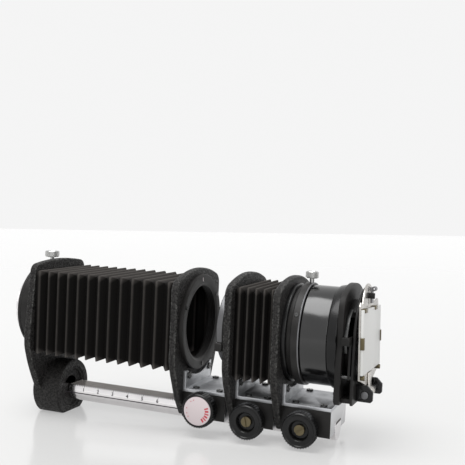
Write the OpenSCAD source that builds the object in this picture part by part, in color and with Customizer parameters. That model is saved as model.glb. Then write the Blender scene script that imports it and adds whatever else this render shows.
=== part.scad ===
// Extension bellows and slide duplicator on a round rail.
// X runs along the rail towards the slide stage, Z is up, the camera end is at -X.
// The origin is the centre of the foot's flat underside, at the mouth of the tripod socket.

/* [Rail] */
// Radius of the round rail
rod_r = 7; // [6.8:0.1:7.2]
// Height of the rail's axis over the foot's underside
rod_z = 14; // [13.5:0.1:15]
// X of the rail's free end
rod_end_x = 176.7; // [176.6:0.1:190]
// Depth that the rail reaches behind the foot's centre
rod_tail = 6.7; // [5:0.1:7]
// Height of the rack's tooth tips over the rail's axis
rack_h = 3.7; // [3.6:0.05:3.8]
// Tooth module of rack and pinion
gear_module = 0.4; // [0.36:0.01:0.42]
// Height of a rack tooth's tip over the pitch line, in modules
tooth_addendum = 0.8; // [0.7:0.05:0.9]
// Depth of a tooth's root under the pitch line, in modules
tooth_dedendum = 1.12; // [1.05:0.01:1.25]
// Backlash between the teeth
backlash = 0.1; // [0.06:0.01:0.16]
// X where the rack begins
rack_start_x = 11; // [10:0.5:20]
// X where the rack ends
rack_end_x = 118; // [112:0.5:150]

/* [Rear standard and camera mount] */
// Radius of the foot's round boss
boss_r = 17.1; // [16.5:0.1:18]
// Length of the boss along the rail
boss_l = 18; // [17:0.1:19]
// X of the rear plate's back face
rear_x = -6.7; // [-7:0.1:-6.4]
// Thickness of the rear plate
rear_t = 4.1; // [4:0.1:4.3]
// Radius of the recess round the rail in the boss
boss_recess_r = 11; // [9:0.1:13]
// Depth of that recess
boss_recess_d = 2; // [1:0.1:3]
// Radius of the tripod thread
tripod_r = 3.175; // [3.1:0.005:3.2]
// Depth of the tripod thread
tripod_d = 5.6; // [5:0.1:6]
// Radius of the grub screw that holds the rail
grub_r = 2; // [1.5:0.1:2.5]
// Length of the grub screw
grub_l = 6; // [4:0.1:8]
// Outer radius of the rear collar
collar_r = 27; // [26.5:0.1:27.5]
// Length of the rear collar
collar_l = 8; // [7.5:0.1:9]
// Radius of the turning camera ring inside the collar
camera_ring_r = 24; // [23.5:0.1:24.5]
// Radius of the camera ring's rim outside the collar
camera_rim_r = 25.6; // [25:0.1:26]
// Thickness of that rim
camera_rim_t = 1; // [0.8:0.1:1.5]
// Radius of the screw thread that holds cameras and lenses
thread_r = 21; // [20.5:0.05:21.5]
// Length of the camera's thread
camera_thread_l = 4.3; // [4:0.1:5]
// Radius of the way for light through the camera ring
camera_bore_r = 19; // [18:0.1:19.5]

/* [Standards] */
// Height of the light axis over the foot's underside
axis_z = 63.4; // [63:0.1:64]
// Half width of a standard
std_hw = 30.5; // [30:0.1:31]
// Height of the arch's top over the light axis
std_top = 31; // [30.6:0.1:31.4]
// Radius of the arch
std_arch_r = 75; // [70:1:85]
// Radius of the upper corners
std_corner_r = 7; // [5:0.5:8]
// Depth under the light axis where the sides begin to draw in
std_shoulder = 18.4; // [17:0.1:20]
// Half width at the waist, where the sides turn to the foot
std_waist_hw = 25.6; // [25:0.1:26.4]
// Depth of the waist under the light axis
std_waist = 31.9; // [31:0.1:33]
// Half width of the front standards' feet
std_foot_hw = 14.5; // [13.5:0.1:15.5]
// Half width of the rear standard's top
rear_hw = 26.8; // [26.4:0.1:27.2]
// Height of the rear standard's top over the light axis
rear_top = 30; // [29.6:0.1:30.4]
// Radius of the rear standard's arch
rear_arch_r = 140; // [120:5:160]
// Radius of the rear standard's upper corners
rear_corner_r = 5; // [4:0.5:6]
// Half width of the rear standard where it is widest
rear_waist_hw = 30.6; // [30:0.1:31.2]
// Depth under the light axis where the rear standard is widest
rear_waist = 16; // [14:0.5:18]
// Thickness of the three front standards
std_t = 4.1; // [4:0.1:4.2]
// Radius of the way for light through a standard
std_bore_r = 23.5; // [23:0.1:24]
// X of the lens standard's back face
lens_x = 87.7; // [87.5:0.1:88]
// X of the front standard's back face
front_x = 118.9; // [118.7:0.1:119]
// X of the stage standard's back face
stage_x = 145.7; // [145.6:0.1:145.9]

/* [Bellows] */
// Half width of the long bellows over its ridges
long_hw = 28; // [27:0.1:28.5]
// Half height of the long bellows over its ridges
long_hh = 24.6; // [24:0.1:25.5]
// Depth of a fold of the long bellows
long_fold = 3.7; // [3:0.1:4.2]
// Depth of the folds in its top and underside
long_fold_h = 1.4; // [1:0.1:2]
// Folds of the long bellows
long_n = 13; // [9:1:17]
// Half width of the short bellows over its ridges
short_hw = 26; // [25:0.1:27]
// Half height of the short bellows over its ridges
short_hh = 25; // [24:0.1:26]
// Depth of a fold of the short bellows
short_fold = 3.2; // [2.5:0.1:3.6]
// Depth of the folds in its top and underside
short_fold_h = 2.6; // [2:0.1:3]
// Folds of the short bellows
short_n = 5; // [4:1:6]
// Thickness of the bellows' skin
skin_t = 1; // [0.8:0.1:1.2]
// Height of the slanted facet under a ridge's corner
ridge_cut = 4; // [3:0.5:6]
// Cut of a valley's corners
valley_cut = 0.6; // [0.5:0.1:1]

/* [Rings] */
// Outer radius of the lens ring
lens_ring_r = 27.5; // [27:0.1:28]
// Thickness of the lens ring before its standard
lens_ring_t = 2.4; // [2.2:0.1:2.6]
// Length of the lens ring's collar inside the standard
lens_spigot_l = 3.4; // [3:0.1:3.6]
// Radius of the small ring screws' heads
ring_screw_r = 1.1; // [0.9:0.1:1.3]
// Distance of the ring screws from the light axis
ring_screw_at = 24.6; // [24:0.1:25]
// Outer radius of the adapter's base
adapter_base_r = 27; // [26.5:0.1:27.5]
// Thickness of the adapter's base
adapter_base_t = 2; // [1.8:0.1:2.2]
// Outer radius of the adapter's tube
adapter_r = 22; // [21.5:0.1:22.5]
// Radius of the way for light through the adapter's tube
adapter_bore_r = 19.5; // [19:0.1:20]
// Length of the adapter's tube before its base
adapter_l = 5.1; // [4.8:0.1:5.4]
// Reach of the adapter's catch from the light axis
catch_reach = 31.4; // [30:0.1:32]

/* [Blocks and brackets] */
// Half width of a rail block
block_hw = 18; // [17.5:0.1:18.5]
// Height of a block's top over the rail's axis
block_top = 12.5; // [12:0.1:13]
// Depth of a block's underside below the rail's axis
block_bottom = 1.5; // [1.2:0.1:1.8]
// Length of the lens block
lens_block_l = 25.6; // [25:0.1:26]
// Length of the front block
front_block_l = 22.4; // [22:0.1:22.4]
// Length of the stage block
stage_block_l = 26.8; // [26:0.1:26.8]
// Thickness of the bracket sheet
sheet_t = 1.7; // [1.5:0.1:1.9]
// Height of a bracket's upright over the rail's axis
bracket_top = 24; // [23.5:0.1:24.5]
// Radius of the round cut in a bracket's upright
bracket_cut_r = 30; // [29.5:0.1:30.5]
// Radius of a bracket screw's head
screw_head_r = 1.9; // [1.7:0.1:2.1]
// Height of a bracket screw's head
screw_head_h = 0.9; // [0.7:0.1:1.1]
// Radius of a bracket screw's thread
screw_r = 1; // [0.9:0.1:1.2]
// Distance of the bracket screws from the rail's vertical plane
screw_y = 14.2; // [13.8:0.1:14.5]
// Distance of the bracket's plate screws from the plate's ends
screw_inset = 4.9; // [4.5:0.1:5.3]
// Running clearance between moving metal parts, on the radius
running = 0.05; // [0.03:0.01:0.08]
// Gap between faces that pass each other
face_gap = 0.3; // [0.2:0.05:0.4]

/* [Knobs] */
// Y of the knobs' front faces, before the rail
knob_front = 28; // [27.5:0.1:28.5]
// Depth of a knob
knob_t = 7; // [6.5:0.1:7.5]
// Radius of the drive knob
drive_r = 9.6; // [9.3:0.1:9.8]
// Distance of the drive knob's axis before the lens standard
drive_inset = 13.4; // [13:0.1:13.8]
// Radius of the white disc on the drive knob
disc_r = 7.8; // [7.4:0.1:8]
// Teeth of the pinion
pinion_n = 10; // [10:1:12]
// Radius of the pinion's shaft
pinion_shaft_r = 1.5; // [1.2:0.1:1.6]
// Radius of a clamp knob
clamp_r = 9.6; // [9.4:0.1:9.8]
// Height of the clamp knobs' axes over the rail's axis
clamp_h = 3.2; // [3:0.1:3.5]
// X of the front clamp's axis
front_clamp_x = 132.9; // [132.5:0.1:133.3]
// X of the stage clamp's axis
stage_clamp_x = 162.2; // [161.8:0.1:162.6]
// Radius of a clamp screw's thread
clamp_screw_r = 2.5; // [2.2:0.1:2.8]
// Radius of the hollow in a clamp knob's face
knob_hollow_r = 4.6; // [4.2:0.1:5]
// Ridges round a knob
knob_ridges = 40; // [30:1:48]

/* [Drum] */
// Outer radius of the mount ring on the stage standard
mount_ring_r = 27; // [26.5:0.1:27.5]
// Thickness of the mount ring
mount_ring_t = 2.6; // [2.4:0.1:2.8]
// Radius of the neck between mount ring and collar band
neck_r = 25.4; // [25.2:0.1:25.8]
// X of the collar band's back
band_x = 155.1; // [155:0.1:155.4]
// Outer radius of the collar band
band_r = 28; // [27.8:0.1:28.4]
// Length of the collar band
band_l = 4.4; // [4.2:0.1:4.6]
// Outer radius of the drum
drum_r = 26.8; // [26.5:0.1:27]
// Radius of the drum's sleeve inside the collar
sleeve_r = 24; // [23.8:0.1:24.2]
// Radius of the way for light through the drum
drum_bore_r = 21.6; // [21:0.1:22]
// Length of the drum before its collar
drum_l = 14.5; // [14.2:0.1:14.8]
// Length of the flared ring
flare_l = 5.2; // [5:0.1:5.4]
// Outer radius of the flared ring
flare_r = 28.5; // [28.2:0.1:28.8]

/* [Slide stage] */
// Thickness of the stage plate
plate_t = 3; // [2.8:0.1:3.2]
// Turn of the drum at rest, in degrees, as it was left
drum_turn = -3; // [-10:0.5:10]
// Half width of the stage plate
plate_hw = 27; // [26.6:0.1:27.4]
// Height of the stage plate's top over the light axis
plate_top = 29.6; // [29.2:0.1:30]
// Radius of the stage plate's arch
plate_arch_r = 46; // [42:1:52]
// Radius of the stage plate's upper corners
plate_corner_r = 10; // [8:0.5:12]
// Depth of the plates' undersides below the light axis
plate_low = 31.7; // [31.2:0.1:32.2]
// Width of the channel between the two plates
channel_w = 4.8; // [4.5:0.1:5]
// Thickness of the slide plate
slide_plate_t = 1.4; // [1.2:0.1:1.5]
// Half width of the slide plate
slide_plate_hw = 25; // [24.5:0.1:25.2]
// Height of the slide plate's round top over the light axis
slide_plate_top = 27.8; // [27.4:0.1:28.2]
// Outer radius of the light tube between the plates
tube_r = 20.8; // [20.5:0.1:21]
// Radius of the way for light through that tube
tube_bore_r = 18.4; // [18:0.1:18.8]
// Half width of the picture window
window_hw = 18; // [17.5:0.1:18.2]
// Half height of the picture window
window_hh = 12; // [11.5:0.1:12.5]
// Distance of the gate's hinge before the stage plate's back face
hinge_reach = 13.6; // [13.5:0.1:13.9]
// Height of the gate's hinge
hinge_z = 36.5; // [36.2:0.1:36.8]
// Radius of the hinge rod
hinge_rod_r = 1.2; // [1:0.1:1.4]
// Lean of the shut gate towards the slide plate, in degrees
gate_lean = 2.5; // [2:0.1:2.6]
// Thickness of the gate's sheet
gate_t = 1; // [0.8:0.1:1]
// Half width of the gate
gate_hw = 25; // [24.5:0.1:25.2]
// Height of the gate's shoulders over the hinge
gate_h = 48; // [47:0.5:49]
// Height of the gate's round lobe over the hinge
lobe_h = 57; // [56.6:0.1:57.6]
// Radius of the lobe
lobe_r = 15.5; // [14:0.5:16]
// Distance of the lobe's centre from the middle, towards the near side
lobe_y = 3.5; // [3:0.5:4.5]
// Half width of the opal panel
opal_hw = 24.8; // [24.4:0.1:25]
// Height of the opal panel
opal_h = 33; // [32.4:0.1:33.6]
// Height of the opal panel's lower edge over the hinge
opal_low = 11.2; // [10.8:0.1:11.6]
// Thickness of the opal panel
opal_t = 1.5; // [1.2:0.1:1.8]
// Distance of the hinge ears' inner faces from the middle
ear_y = 13; // [12.5:0.1:13.5]
// Thickness of a hinge ear
ear_t = 2; // [1.8:0.1:2.2]

/* [Lock screws] */
// Radius of the rear lock screw's head
rear_lock_r = 4.4; // [4.2:0.1:4.4]
// Distance of the rear lock screw behind the rear plate
rear_lock_back = 3; // [2.8:0.1:3.4]
// Radius of the drum lock screw's head
drum_lock_r = 3.6; // [3.3:0.1:3.9]
// Height of a lock screw's head
lock_head_h = 3.7; // [3.4:0.1:4]
// Height of the rear lock screw's bare stem
rear_stem_h = 3.6; // [3.2:0.1:4]
// Height of the drum lock screw's bare stem
drum_stem_h = 2.4; // [2:0.1:3]
// Radius of a lock screw's stem
lock_stem_r = 1.25; // [1.1:0.05:1.4]

/* [Hidden] */
$fn = 64;
eps = 0.01;
pi = 3.14159265;

// rack and pinion
pitch = pi * gear_module;
drive_x = lens_x + std_t + drive_inset;
addendum = tooth_addendum * gear_module;
dedendum = tooth_dedendum * gear_module;
tooth_slope = tan(20);
pitch_line_h = rack_h - addendum;
pinion_pr = gear_module * pinion_n / 2;
pinion_z = rod_z + pitch_line_h + pinion_pr;
tooth_half = pitch / 4 - backlash / 2;
tooth_tip_half = tooth_half - addendum * tooth_slope;
rack_root_half = tooth_half + dedendum * tooth_slope;
pinion_tip_half = 0.12;
pinion_root_half = 0.3;
rack_n = floor((rack_end_x - rack_start_x) / pitch);
// the pinion's lowest tooth points into a gap of the rack
rack_phase = drive_x + pitch / 2;
rack_first = ceil((rack_start_x - rack_phase) / pitch);
pinion_half_l = 4;
pinion_room = 0.4;

// places along the rail
rear_front_x = rear_x + rear_t;
collar_back_x = rear_x - collar_l;
rear_lock_x = rear_x - rear_lock_back;
lens_front_x = lens_x + std_t;
front_front_x = front_x + std_t;
stage_front_x = stage_x + std_t;
lens_ring_x = lens_front_x + lens_ring_t;
adapter_base_x = front_x - adapter_base_t;
adapter_tip_x = adapter_base_x - adapter_l;
mount_ring_x = stage_front_x + mount_ring_t;
band_end_x = band_x + band_l;
drum_lock_x = band_x + 0.7 * band_l;
drum_back_x = band_end_x + face_gap;
flare_x = drum_back_x + drum_l;
plate_x = flare_x + flare_l;
hinge_x = plate_x + hinge_reach;
plate_front_x = plate_x + plate_t;
slide_x = plate_front_x + channel_w;
slide_front_x = slide_x + slide_plate_t;
clamp_z = rod_z + clamp_h;
clamp_screw_tip = sqrt(rod_r * rod_r - clamp_h * clamp_h);
shoe_l = 2.2;
shoe_gap = 0.1;
knob_back = knob_front - knob_t;
block_z = rod_z + block_top;
bracket_z = block_z + sheet_t;
std_foot = axis_z - rod_z + block_bottom;

// points along a circle's arc, from angle a0 to a1
function arc(cy, cz, r, a0, a1, n = 8) =
    [for (i = [0:n]) let (a = a0 + (a1 - a0) * i / n) [cy + r * cos(a), cz + r * sin(a)]];

function mirrored(pts) = [for (i = [len(pts) - 1:-1:0]) [-pts[i][0], pts[i][1]]];

// a toothed or ridged round outline
function ridged(r, depth, n) =
    [for (i = [0:2 * n - 1])
        let (q = i % 2 == 0 ? r : r - depth)
        [q * cos(i * 180 / n), q * sin(i * 180 / n)]];

// turns a flat outline drawn as (y, z) into a plate along X
module plate_x_from(x, t) {
    translate([x, 0, 0]) rotate([90, 0, 90]) linear_extrude(t) children();
}

module disc_x(x, l, r, z = axis_z) {
    translate([x, 0, z]) rotate([0, 90, 0]) cylinder(r = r, h = l);
}

module disc_y(x, y, z, l, r) {
    translate([x, y, z]) rotate([-90, 0, 0]) cylinder(r = r, h = l);
}

module ring_x(x, l, r_out, r_in) {
    difference() {
        disc_x(x, l, r_out);
        disc_x(x - eps, l + 2 * eps, r_in);
    }
}

// ---------- outlines ----------

// Right half of an arched top of half width hw, from the peak to the side.
// The corner's circle touches the arch from inside and the side.
function arched_half(hw, top, arch_r, corner_r) =
    let (cy = hw - corner_r, az = top - arch_r,
         cz = az + sqrt(pow(arch_r - corner_r, 2) - cy * cy), a = atan2(cz - az, cy))
    concat(arc(0, az, arch_r, 90, a, 6), arc(cy, cz, corner_r, a, 0, 6));

upper_half = arched_half(std_hw, std_top, std_arch_r, std_corner_r);

// the sides bow out between shoulder, waist and foot
side_bow = 0.5;
leg_bow = 1;

front_half = concat(upper_half, [
    [std_hw, -std_shoulder],
    [(std_hw + std_waist_hw) / 2 + side_bow, -(std_shoulder + std_waist) / 2],
    [std_waist_hw, -std_waist],
    [(std_waist_hw + std_foot_hw) / 2 + leg_bow, -(std_waist + std_foot) / 2],
    [std_foot_hw, -std_foot]]);

// points down the side of the rear standard's leg, from the light axis
rear_leg = [[28.2, -27], [24.4, -36.1], [20.4, -43.8]];

rear_half = concat(arched_half(rear_hw, rear_top, rear_arch_r, rear_corner_r),
    [[rear_waist_hw, -rear_waist]],
    rear_leg,
    [[boss_r, rod_z - axis_z]]);

module std_outline(half) {
    translate([0, axis_z]) polygon(concat(half, mirrored(half)));
}

// ---------- rail ----------

module rack_gap(i) {
    x = rack_phase + (i + 0.5) * pitch;
    translate([x, 0, rod_z]) rotate([90, 0, 0]) linear_extrude(2 * rod_r, center = true)
        polygon([
            [-(pitch / 2 - tooth_tip_half), rack_h + 1],
            [-(pitch / 2 - tooth_tip_half), rack_h],
            [-(pitch / 2 - rack_root_half), pitch_line_h - dedendum],
            [pitch / 2 - rack_root_half, pitch_line_h - dedendum],
            [pitch / 2 - tooth_tip_half, rack_h],
            [pitch / 2 - tooth_tip_half, rack_h + 1]]);
}

module rail_rod() {
    flat_x = boss_l / 2 - boss_recess_d;
    color("silver") difference() {
        disc_x(-rod_tail, rod_end_x + rod_tail, rod_r, rod_z);
        translate([flat_x, -rod_r, rod_z + rack_h]) cube([rod_end_x, 2 * rod_r, rod_r]);
        for (i = [rack_first:rack_first + rack_n - 1]) rack_gap(i);
    }
}

// ---------- rear standard ----------

module rear_standard() {
    color("dimgray") difference() {
        union() {
            plate_x_from(rear_x, rear_t) std_outline(rear_half);
            disc_x(-boss_l / 2, boss_l, boss_r, rod_z);
        }
        disc_x(rear_x - eps, rear_t + 2 * eps, std_bore_r);
        disc_x(-rod_tail, boss_l + rod_tail, rod_r, rod_z);
        disc_x(boss_l / 2 - boss_recess_d, boss_recess_d + 1, boss_recess_r, rod_z);
        translate([-boss_l, -boss_r - 1, -boss_r]) cube([2 * boss_l, 2 * boss_r + 2, boss_r]);
        translate([0, 0, -eps]) cylinder(r = tripod_r, h = tripod_d + eps);
        disc_y(0, rod_r - 1, rod_z, boss_r, grub_r);
    }
}

module rail_grub_screw() {
    socket_r = grub_r / 2;
    socket_d = 2;
    color("gray") difference() {
        disc_y(0, rod_r, rod_z, grub_l, grub_r);
        translate([0, rod_r + grub_l - socket_d, rod_z]) rotate([-90, 0, 0])
            cylinder(r = socket_r, h = socket_d + 1, $fn = 6);
    }
}

module rear_collar() {
    color("dimgray") difference() {
        ring_x(collar_back_x, collar_l, collar_r, camera_ring_r + running);
        translate([rear_lock_x, 0, axis_z]) cylinder(r = lock_stem_r + running, h = collar_r + 1);
    }
}

groove_depth = 1;
groove_w = 4;

module camera_ring() {
    rim_x = collar_back_x - running * 2 - camera_rim_t;
    color("silver") difference() {
        union() {
            disc_x(rim_x, camera_rim_t, camera_rim_r);
            disc_x(rim_x, camera_rim_t + collar_l - face_gap, camera_ring_r);
            disc_x(rim_x - camera_thread_l, camera_thread_l + eps, thread_r);
        }
        disc_x(rim_x - camera_thread_l - 1, collar_l + camera_thread_l + 4, camera_bore_r);
        ring_x(rear_lock_x - groove_w / 2, groove_w, camera_ring_r + 1, camera_ring_r - groove_depth);
    }
}

lock_ridges = 24;
lock_ridge_depth = 0.3;

// a knurled head on a stem, standing on a collar of radius r_carrier
module lock_screw(x, r_carrier, r_tip, head_r, stem_h) {
    color("silver") translate([x, 0, axis_z]) {
        translate([0, 0, r_tip]) cylinder(r = lock_stem_r, h = r_carrier + stem_h - r_tip + eps);
        translate([0, 0, r_carrier + stem_h]) linear_extrude(lock_head_h)
            polygon(ridged(head_r, lock_ridge_depth, lock_ridges));
    }
}

module rear_lock_screw() {
    lock_screw(rear_lock_x, collar_r, camera_ring_r - groove_depth + running, rear_lock_r, rear_stem_h);
}

// ---------- bellows ----------

// The first and last places stay this far from a valley, so that no slit opens beside a standard's bore.
end_fold = 0.55;
ridge_side_cut = 0.3;

// outline of one fold, with its corners cut along the top and along the side
function fold_ring(x, hw, hh, cut_y, cut_z) = [
    [x, hw - cut_y, hh], [x, hw, hh - cut_z], [x, hw, cut_z - hh], [x, hw - cut_y, -hh],
    [x, cut_y - hw, -hh], [x, -hw, cut_z - hh], [x, -hw, hh - cut_z], [x, cut_y - hw, hh]];

// outline at k, from 0 on a ridge to 1 in a valley
function fold_at(x, k, hw, hh, depth, depth_h, wall) =
    fold_ring(x, hw - depth * k - wall, hh - depth_h * k - wall,
        ridge_side_cut + (valley_cut - ridge_side_cut) * k, ridge_cut + (valley_cut - ridge_cut) * k);

// Places of the folds as [x, k], from x0 to x1. The first ridge is `head` in and the last `tail` before the end.
// The folds lie closer together at the start by the share `crowd`.
function fold_places(x0, x1, n, head, tail, crowd) =
    let (span = x1 - x0 - head - tail, m = 2 * n - 2, step = span / (n - 1))
    concat(
        [[x0, min(end_fold, head / step * 2)]],
        [for (i = [0:m]) let (u = i / m) [x0 + head + span * (u + crowd * u * (u - 1)), i % 2]],
        [[x1, min(end_fold, tail / step * 2)]]);

module bellows(places, hw, hh, depth, depth_h) {
    m = len(places);
    outer = [for (p = places) each fold_at(p[0], p[1], hw, hh, depth, depth_h, 0)];
    inner = [for (i = [m - 1:-1:0]) each fold_at(places[i][0], places[i][1], hw, hh, depth, depth_h, skin_t)];
    rings = 2 * m;
    faces = [for (i = [0:rings - 1], j = [0:7], t = [0:1])
        let (a = i * 8 + j, b = i * 8 + (j + 1) % 8, c = ((i + 1) % rings) * 8 + j,
             d = ((i + 1) % rings) * 8 + (j + 1) % 8)
        t == 0 ? [a, b, d] : [a, d, c]];
    translate([0, 0, axis_z]) polyhedron(points = concat(outer, inner), faces = faces, convexity = 10);
}

long_head = 3.8;
long_tail = 2.5;
long_crowd = 0.1;
short_head = 3;
short_tail = 1.5;

module long_bellows() {
    color("black") bellows(fold_places(rear_front_x, lens_x, long_n, long_head, long_tail, long_crowd),
        long_hw, long_hh, long_fold, long_fold_h);
}

module short_bellows() {
    color("black") bellows(fold_places(front_front_x, stage_x, short_n, short_head, short_tail, 0),
        short_hw, short_hh, short_fold, short_fold_h);
}

// ---------- front standards ----------

notch_gap = 0.3;

module standard_plate(x) {
    difference() {
        plate_x_from(x, std_t) std_outline(front_half);
        disc_x(x - eps, std_t + 2 * eps, std_bore_r);
        disc_x(x - eps, std_t + 2 * eps, rod_r + notch_gap, rod_z);
        upright_screw_holes(x + std_t);
        translate([x - eps, -rod_r - notch_gap, rod_z - block_bottom - 1])
            cube([std_t + 2 * eps, 2 * (rod_r + notch_gap), block_bottom + 1]);
    }
}

module lens_standard() {
    color("dimgray") standard_plate(lens_x);
}

module front_standard() {
    color("dimgray") standard_plate(front_x);
}

module stage_standard() {
    color("dimgray") standard_plate(stage_x);
}

// ---------- rings ----------

ring_screw_angles = [-85, 35, 155];
ring_screw_h = 0.5;
ring_screw_l = 2;

module at_ring_screws() {
    for (a = ring_screw_angles)
        translate([0, ring_screw_at * cos(a), axis_z + ring_screw_at * sin(a)]) rotate([0, 90, 0]) children();
}

module lens_ring() {
    color("dimgray") difference() {
        union() {
            disc_x(lens_front_x, lens_ring_t, lens_ring_r);
            disc_x(lens_front_x - lens_spigot_l, lens_spigot_l + eps, std_bore_r - running);
        }
        disc_x(lens_front_x - lens_spigot_l - 1, lens_spigot_l + lens_ring_t + 2, thread_r);
        translate([lens_ring_x - ring_screw_l, 0, 0]) at_ring_screws() cylinder(r = ring_screw_r / 2, h = 4);
    }
}

module lens_ring_screws() {
    color("silver") translate([lens_ring_x - ring_screw_l, 0, 0]) at_ring_screws() {
        cylinder(r = ring_screw_r / 2, h = ring_screw_l + eps);
        translate([0, 0, ring_screw_l]) cylinder(r = ring_screw_r, h = ring_screw_h);
    }
}

module adapter_base() {
    color("dimgray") ring_x(adapter_base_x, adapter_base_t, adapter_base_r, adapter_bore_r);
}

module adapter_tube() {
    color("black") difference() {
        ring_x(adapter_tip_x, adapter_l, adapter_r, adapter_bore_r);
        translate([adapter_tip_x - eps, 0, axis_z]) rotate([0, 90, 0])
            cylinder(r1 = adapter_bore_r + 1, r2 = adapter_bore_r - 1, h = 2);
    }
}

catch_w = 4.4;
catch_z = 56;
catch_l = 4;
catch_root = 3.5;

module adapter_catch() {
    color("gray") translate([front_x - catch_l, -catch_reach, catch_z - catch_w / 2]) difference() {
        cube([catch_l, catch_reach - adapter_base_r + catch_root, catch_w]);
        translate([0, catch_reach, axis_z - catch_z + catch_w / 2]) rotate([0, 90, 0])
            translate([0, 0, -1]) cylinder(r = adapter_base_r, h = catch_l + 2);
    }
}

// ---------- blocks and brackets ----------

// the way of the rail through a block: round, with a flat over the rack's tips
module rail_way(x, l) {
    r = rod_r + running;
    intersection() {
        disc_x(x, l, r, rod_z);
        translate([x - 1, -r - 1, rod_z - r - 1]) cube([l + 2, 2 * r + 2, r + 1 + rack_h + running]);
    }
}

module block(x, l) {
    difference() {
        translate([x, -block_hw, rod_z - block_bottom]) cube([l, 2 * block_hw, block_top + block_bottom]);
        rail_way(x - 1, l + 2);
    }
}

module at_plate_screws(x, l) {
    for (sx = [x + screw_inset + sheet_t, x + l - screw_inset], sy = [-screw_y, screw_y])
        translate([sx, sy, block_z]) children();
}

upright_screw_z = 35;

module at_upright_screws(x) {
    for (sy = [-screw_y, screw_y]) translate([x, sy, upright_screw_z]) rotate([0, 90, 0]) children();
}

plate_screw_l = 6;
upright_screw_l = 2.5;

module bracket(x, l) {
    color("gainsboro") difference() {
        union() {
            translate([x, -block_hw, block_z]) cube([l, 2 * block_hw, sheet_t]);
            translate([x, -block_hw, block_z]) cube([sheet_t, 2 * block_hw, bracket_top - block_top]);
        }
        disc_x(x - 1, sheet_t + 2, bracket_cut_r);
        at_plate_screws(x, l) translate([0, 0, -1]) cylinder(r = screw_r, h = sheet_t + 2);
        at_upright_screws(x - 1) cylinder(r = screw_r, h = sheet_t + 2);
    }
}

module bracket_screws(x, l) {
    color("silver") {
        at_plate_screws(x, l) {
            translate([0, 0, -plate_screw_l]) cylinder(r = screw_r, h = plate_screw_l + sheet_t + eps);
            translate([0, 0, sheet_t]) cylinder(r = screw_head_r, h = screw_head_h);
        }
        at_upright_screws(x) {
            translate([0, 0, -upright_screw_l]) cylinder(r = screw_r, h = upright_screw_l + sheet_t + eps);
            translate([0, 0, sheet_t]) cylinder(r = screw_head_r, h = screw_head_h);
        }
    }
}

module plate_screw_holes(x, l) {
    at_plate_screws(x, l) translate([0, 0, -plate_screw_l]) cylinder(r = screw_r, h = plate_screw_l + 1);
}

module upright_screw_holes(x) {
    at_upright_screws(x - upright_screw_l) cylinder(r = screw_r, h = upright_screw_l + 1);
}

module lens_bracket() {
    bracket(lens_front_x, lens_block_l);
}

module front_bracket() {
    bracket(front_front_x, front_block_l);
}

module stage_bracket() {
    bracket(stage_front_x, stage_block_l);
}

module lens_bracket_screws() {
    bracket_screws(lens_front_x, lens_block_l);
}

module front_bracket_screws() {
    bracket_screws(front_front_x, front_block_l);
}

module stage_bracket_screws() {
    bracket_screws(stage_front_x, stage_block_l);
}

shaft_collar_r = 3.4;
shaft_collar_l = 2.6;

module lens_block() {
    color("dimgray") difference() {
        block(lens_front_x, lens_block_l);
        plate_screw_holes(lens_front_x, lens_block_l);
        disc_y(drive_x, -block_hw - 1, pinion_z, 2 * block_hw + 2, pinion_shaft_r + running);
        disc_y(drive_x, -pinion_half_l - pinion_room, pinion_z, 2 * (pinion_half_l + pinion_room),
            pinion_pr + addendum + pinion_room);
    }
}

module clamp_way(x) {
    disc_y(x, -block_hw - 1, clamp_z, block_hw + 1, clamp_screw_r + running);
}

module front_block() {
    color("dimgray") difference() {
        block(front_front_x, front_block_l);
        plate_screw_holes(front_front_x, front_block_l);
        clamp_way(front_clamp_x);
    }
}

module stage_block() {
    color("dimgray") difference() {
        block(stage_front_x, stage_block_l);
        plate_screw_holes(stage_front_x, stage_block_l);
        clamp_way(stage_clamp_x);
    }
}

// ---------- drive ----------

// outline of the pinion's teeth in its own plane, one tooth pointing down
pinion_outline = [for (i = [0:pinion_n - 1]) each
    let (a = i * 360 / pinion_n - 90,
         tip = pinion_pr + addendum,
         root = pinion_pr - dedendum,
         deg = 180 / pi)
    [for (q = [[root, -pinion_root_half], [pinion_pr, -tooth_half], [tip, -pinion_tip_half],
               [tip, pinion_tip_half], [pinion_pr, tooth_half], [root, pinion_root_half]])
        let (b = a + q[1] / q[0] * deg) [q[0] * cos(b), q[0] * sin(b)]]];

module pinion() {
    color("goldenrod") translate([drive_x, pinion_half_l, pinion_z]) rotate([90, 0, 0]) difference() {
        linear_extrude(2 * pinion_half_l) polygon(pinion_outline);
        translate([0, 0, -1]) cylinder(r = pinion_bore_r, h = 2 * pinion_half_l + 2);
    }
}

pinion_bore_r = 1;

module pinion_shaft() {
    front_y = -(knob_back + knob_t / 2);
    color("silver") {
        disc_y(drive_x, front_y, pinion_z, -pinion_half_l - front_y, pinion_shaft_r);
        disc_y(drive_x, -pinion_half_l - eps, pinion_z, 2 * pinion_half_l + 2 * eps, pinion_bore_r);
        disc_y(drive_x, pinion_half_l, pinion_z, block_hw + face_gap + shaft_collar_l - pinion_half_l,
            pinion_shaft_r);
    }
}

module shaft_collar() {
    color("silver") difference() {
        disc_y(drive_x, block_hw + face_gap, pinion_z, shaft_collar_l, shaft_collar_r);
        disc_y(drive_x, block_hw, pinion_z, shaft_collar_l + 2, pinion_shaft_r);
    }
}

knob_ridge_depth = 0.35;
knob_hub_r = 5.5;

// a ridged knob with its axis along Y and its face at -knob_front
module knob_body(x, z, r) {
    hub_l = knob_back - block_hw - face_gap;
    translate([x, -knob_back, z]) rotate([90, 0, 0]) linear_extrude(knob_t)
        polygon(ridged(r, knob_ridge_depth, knob_ridges));
    disc_y(x, -knob_back - eps, z, hub_l + eps, knob_hub_r);
}

disc_t = 0.4;

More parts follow.
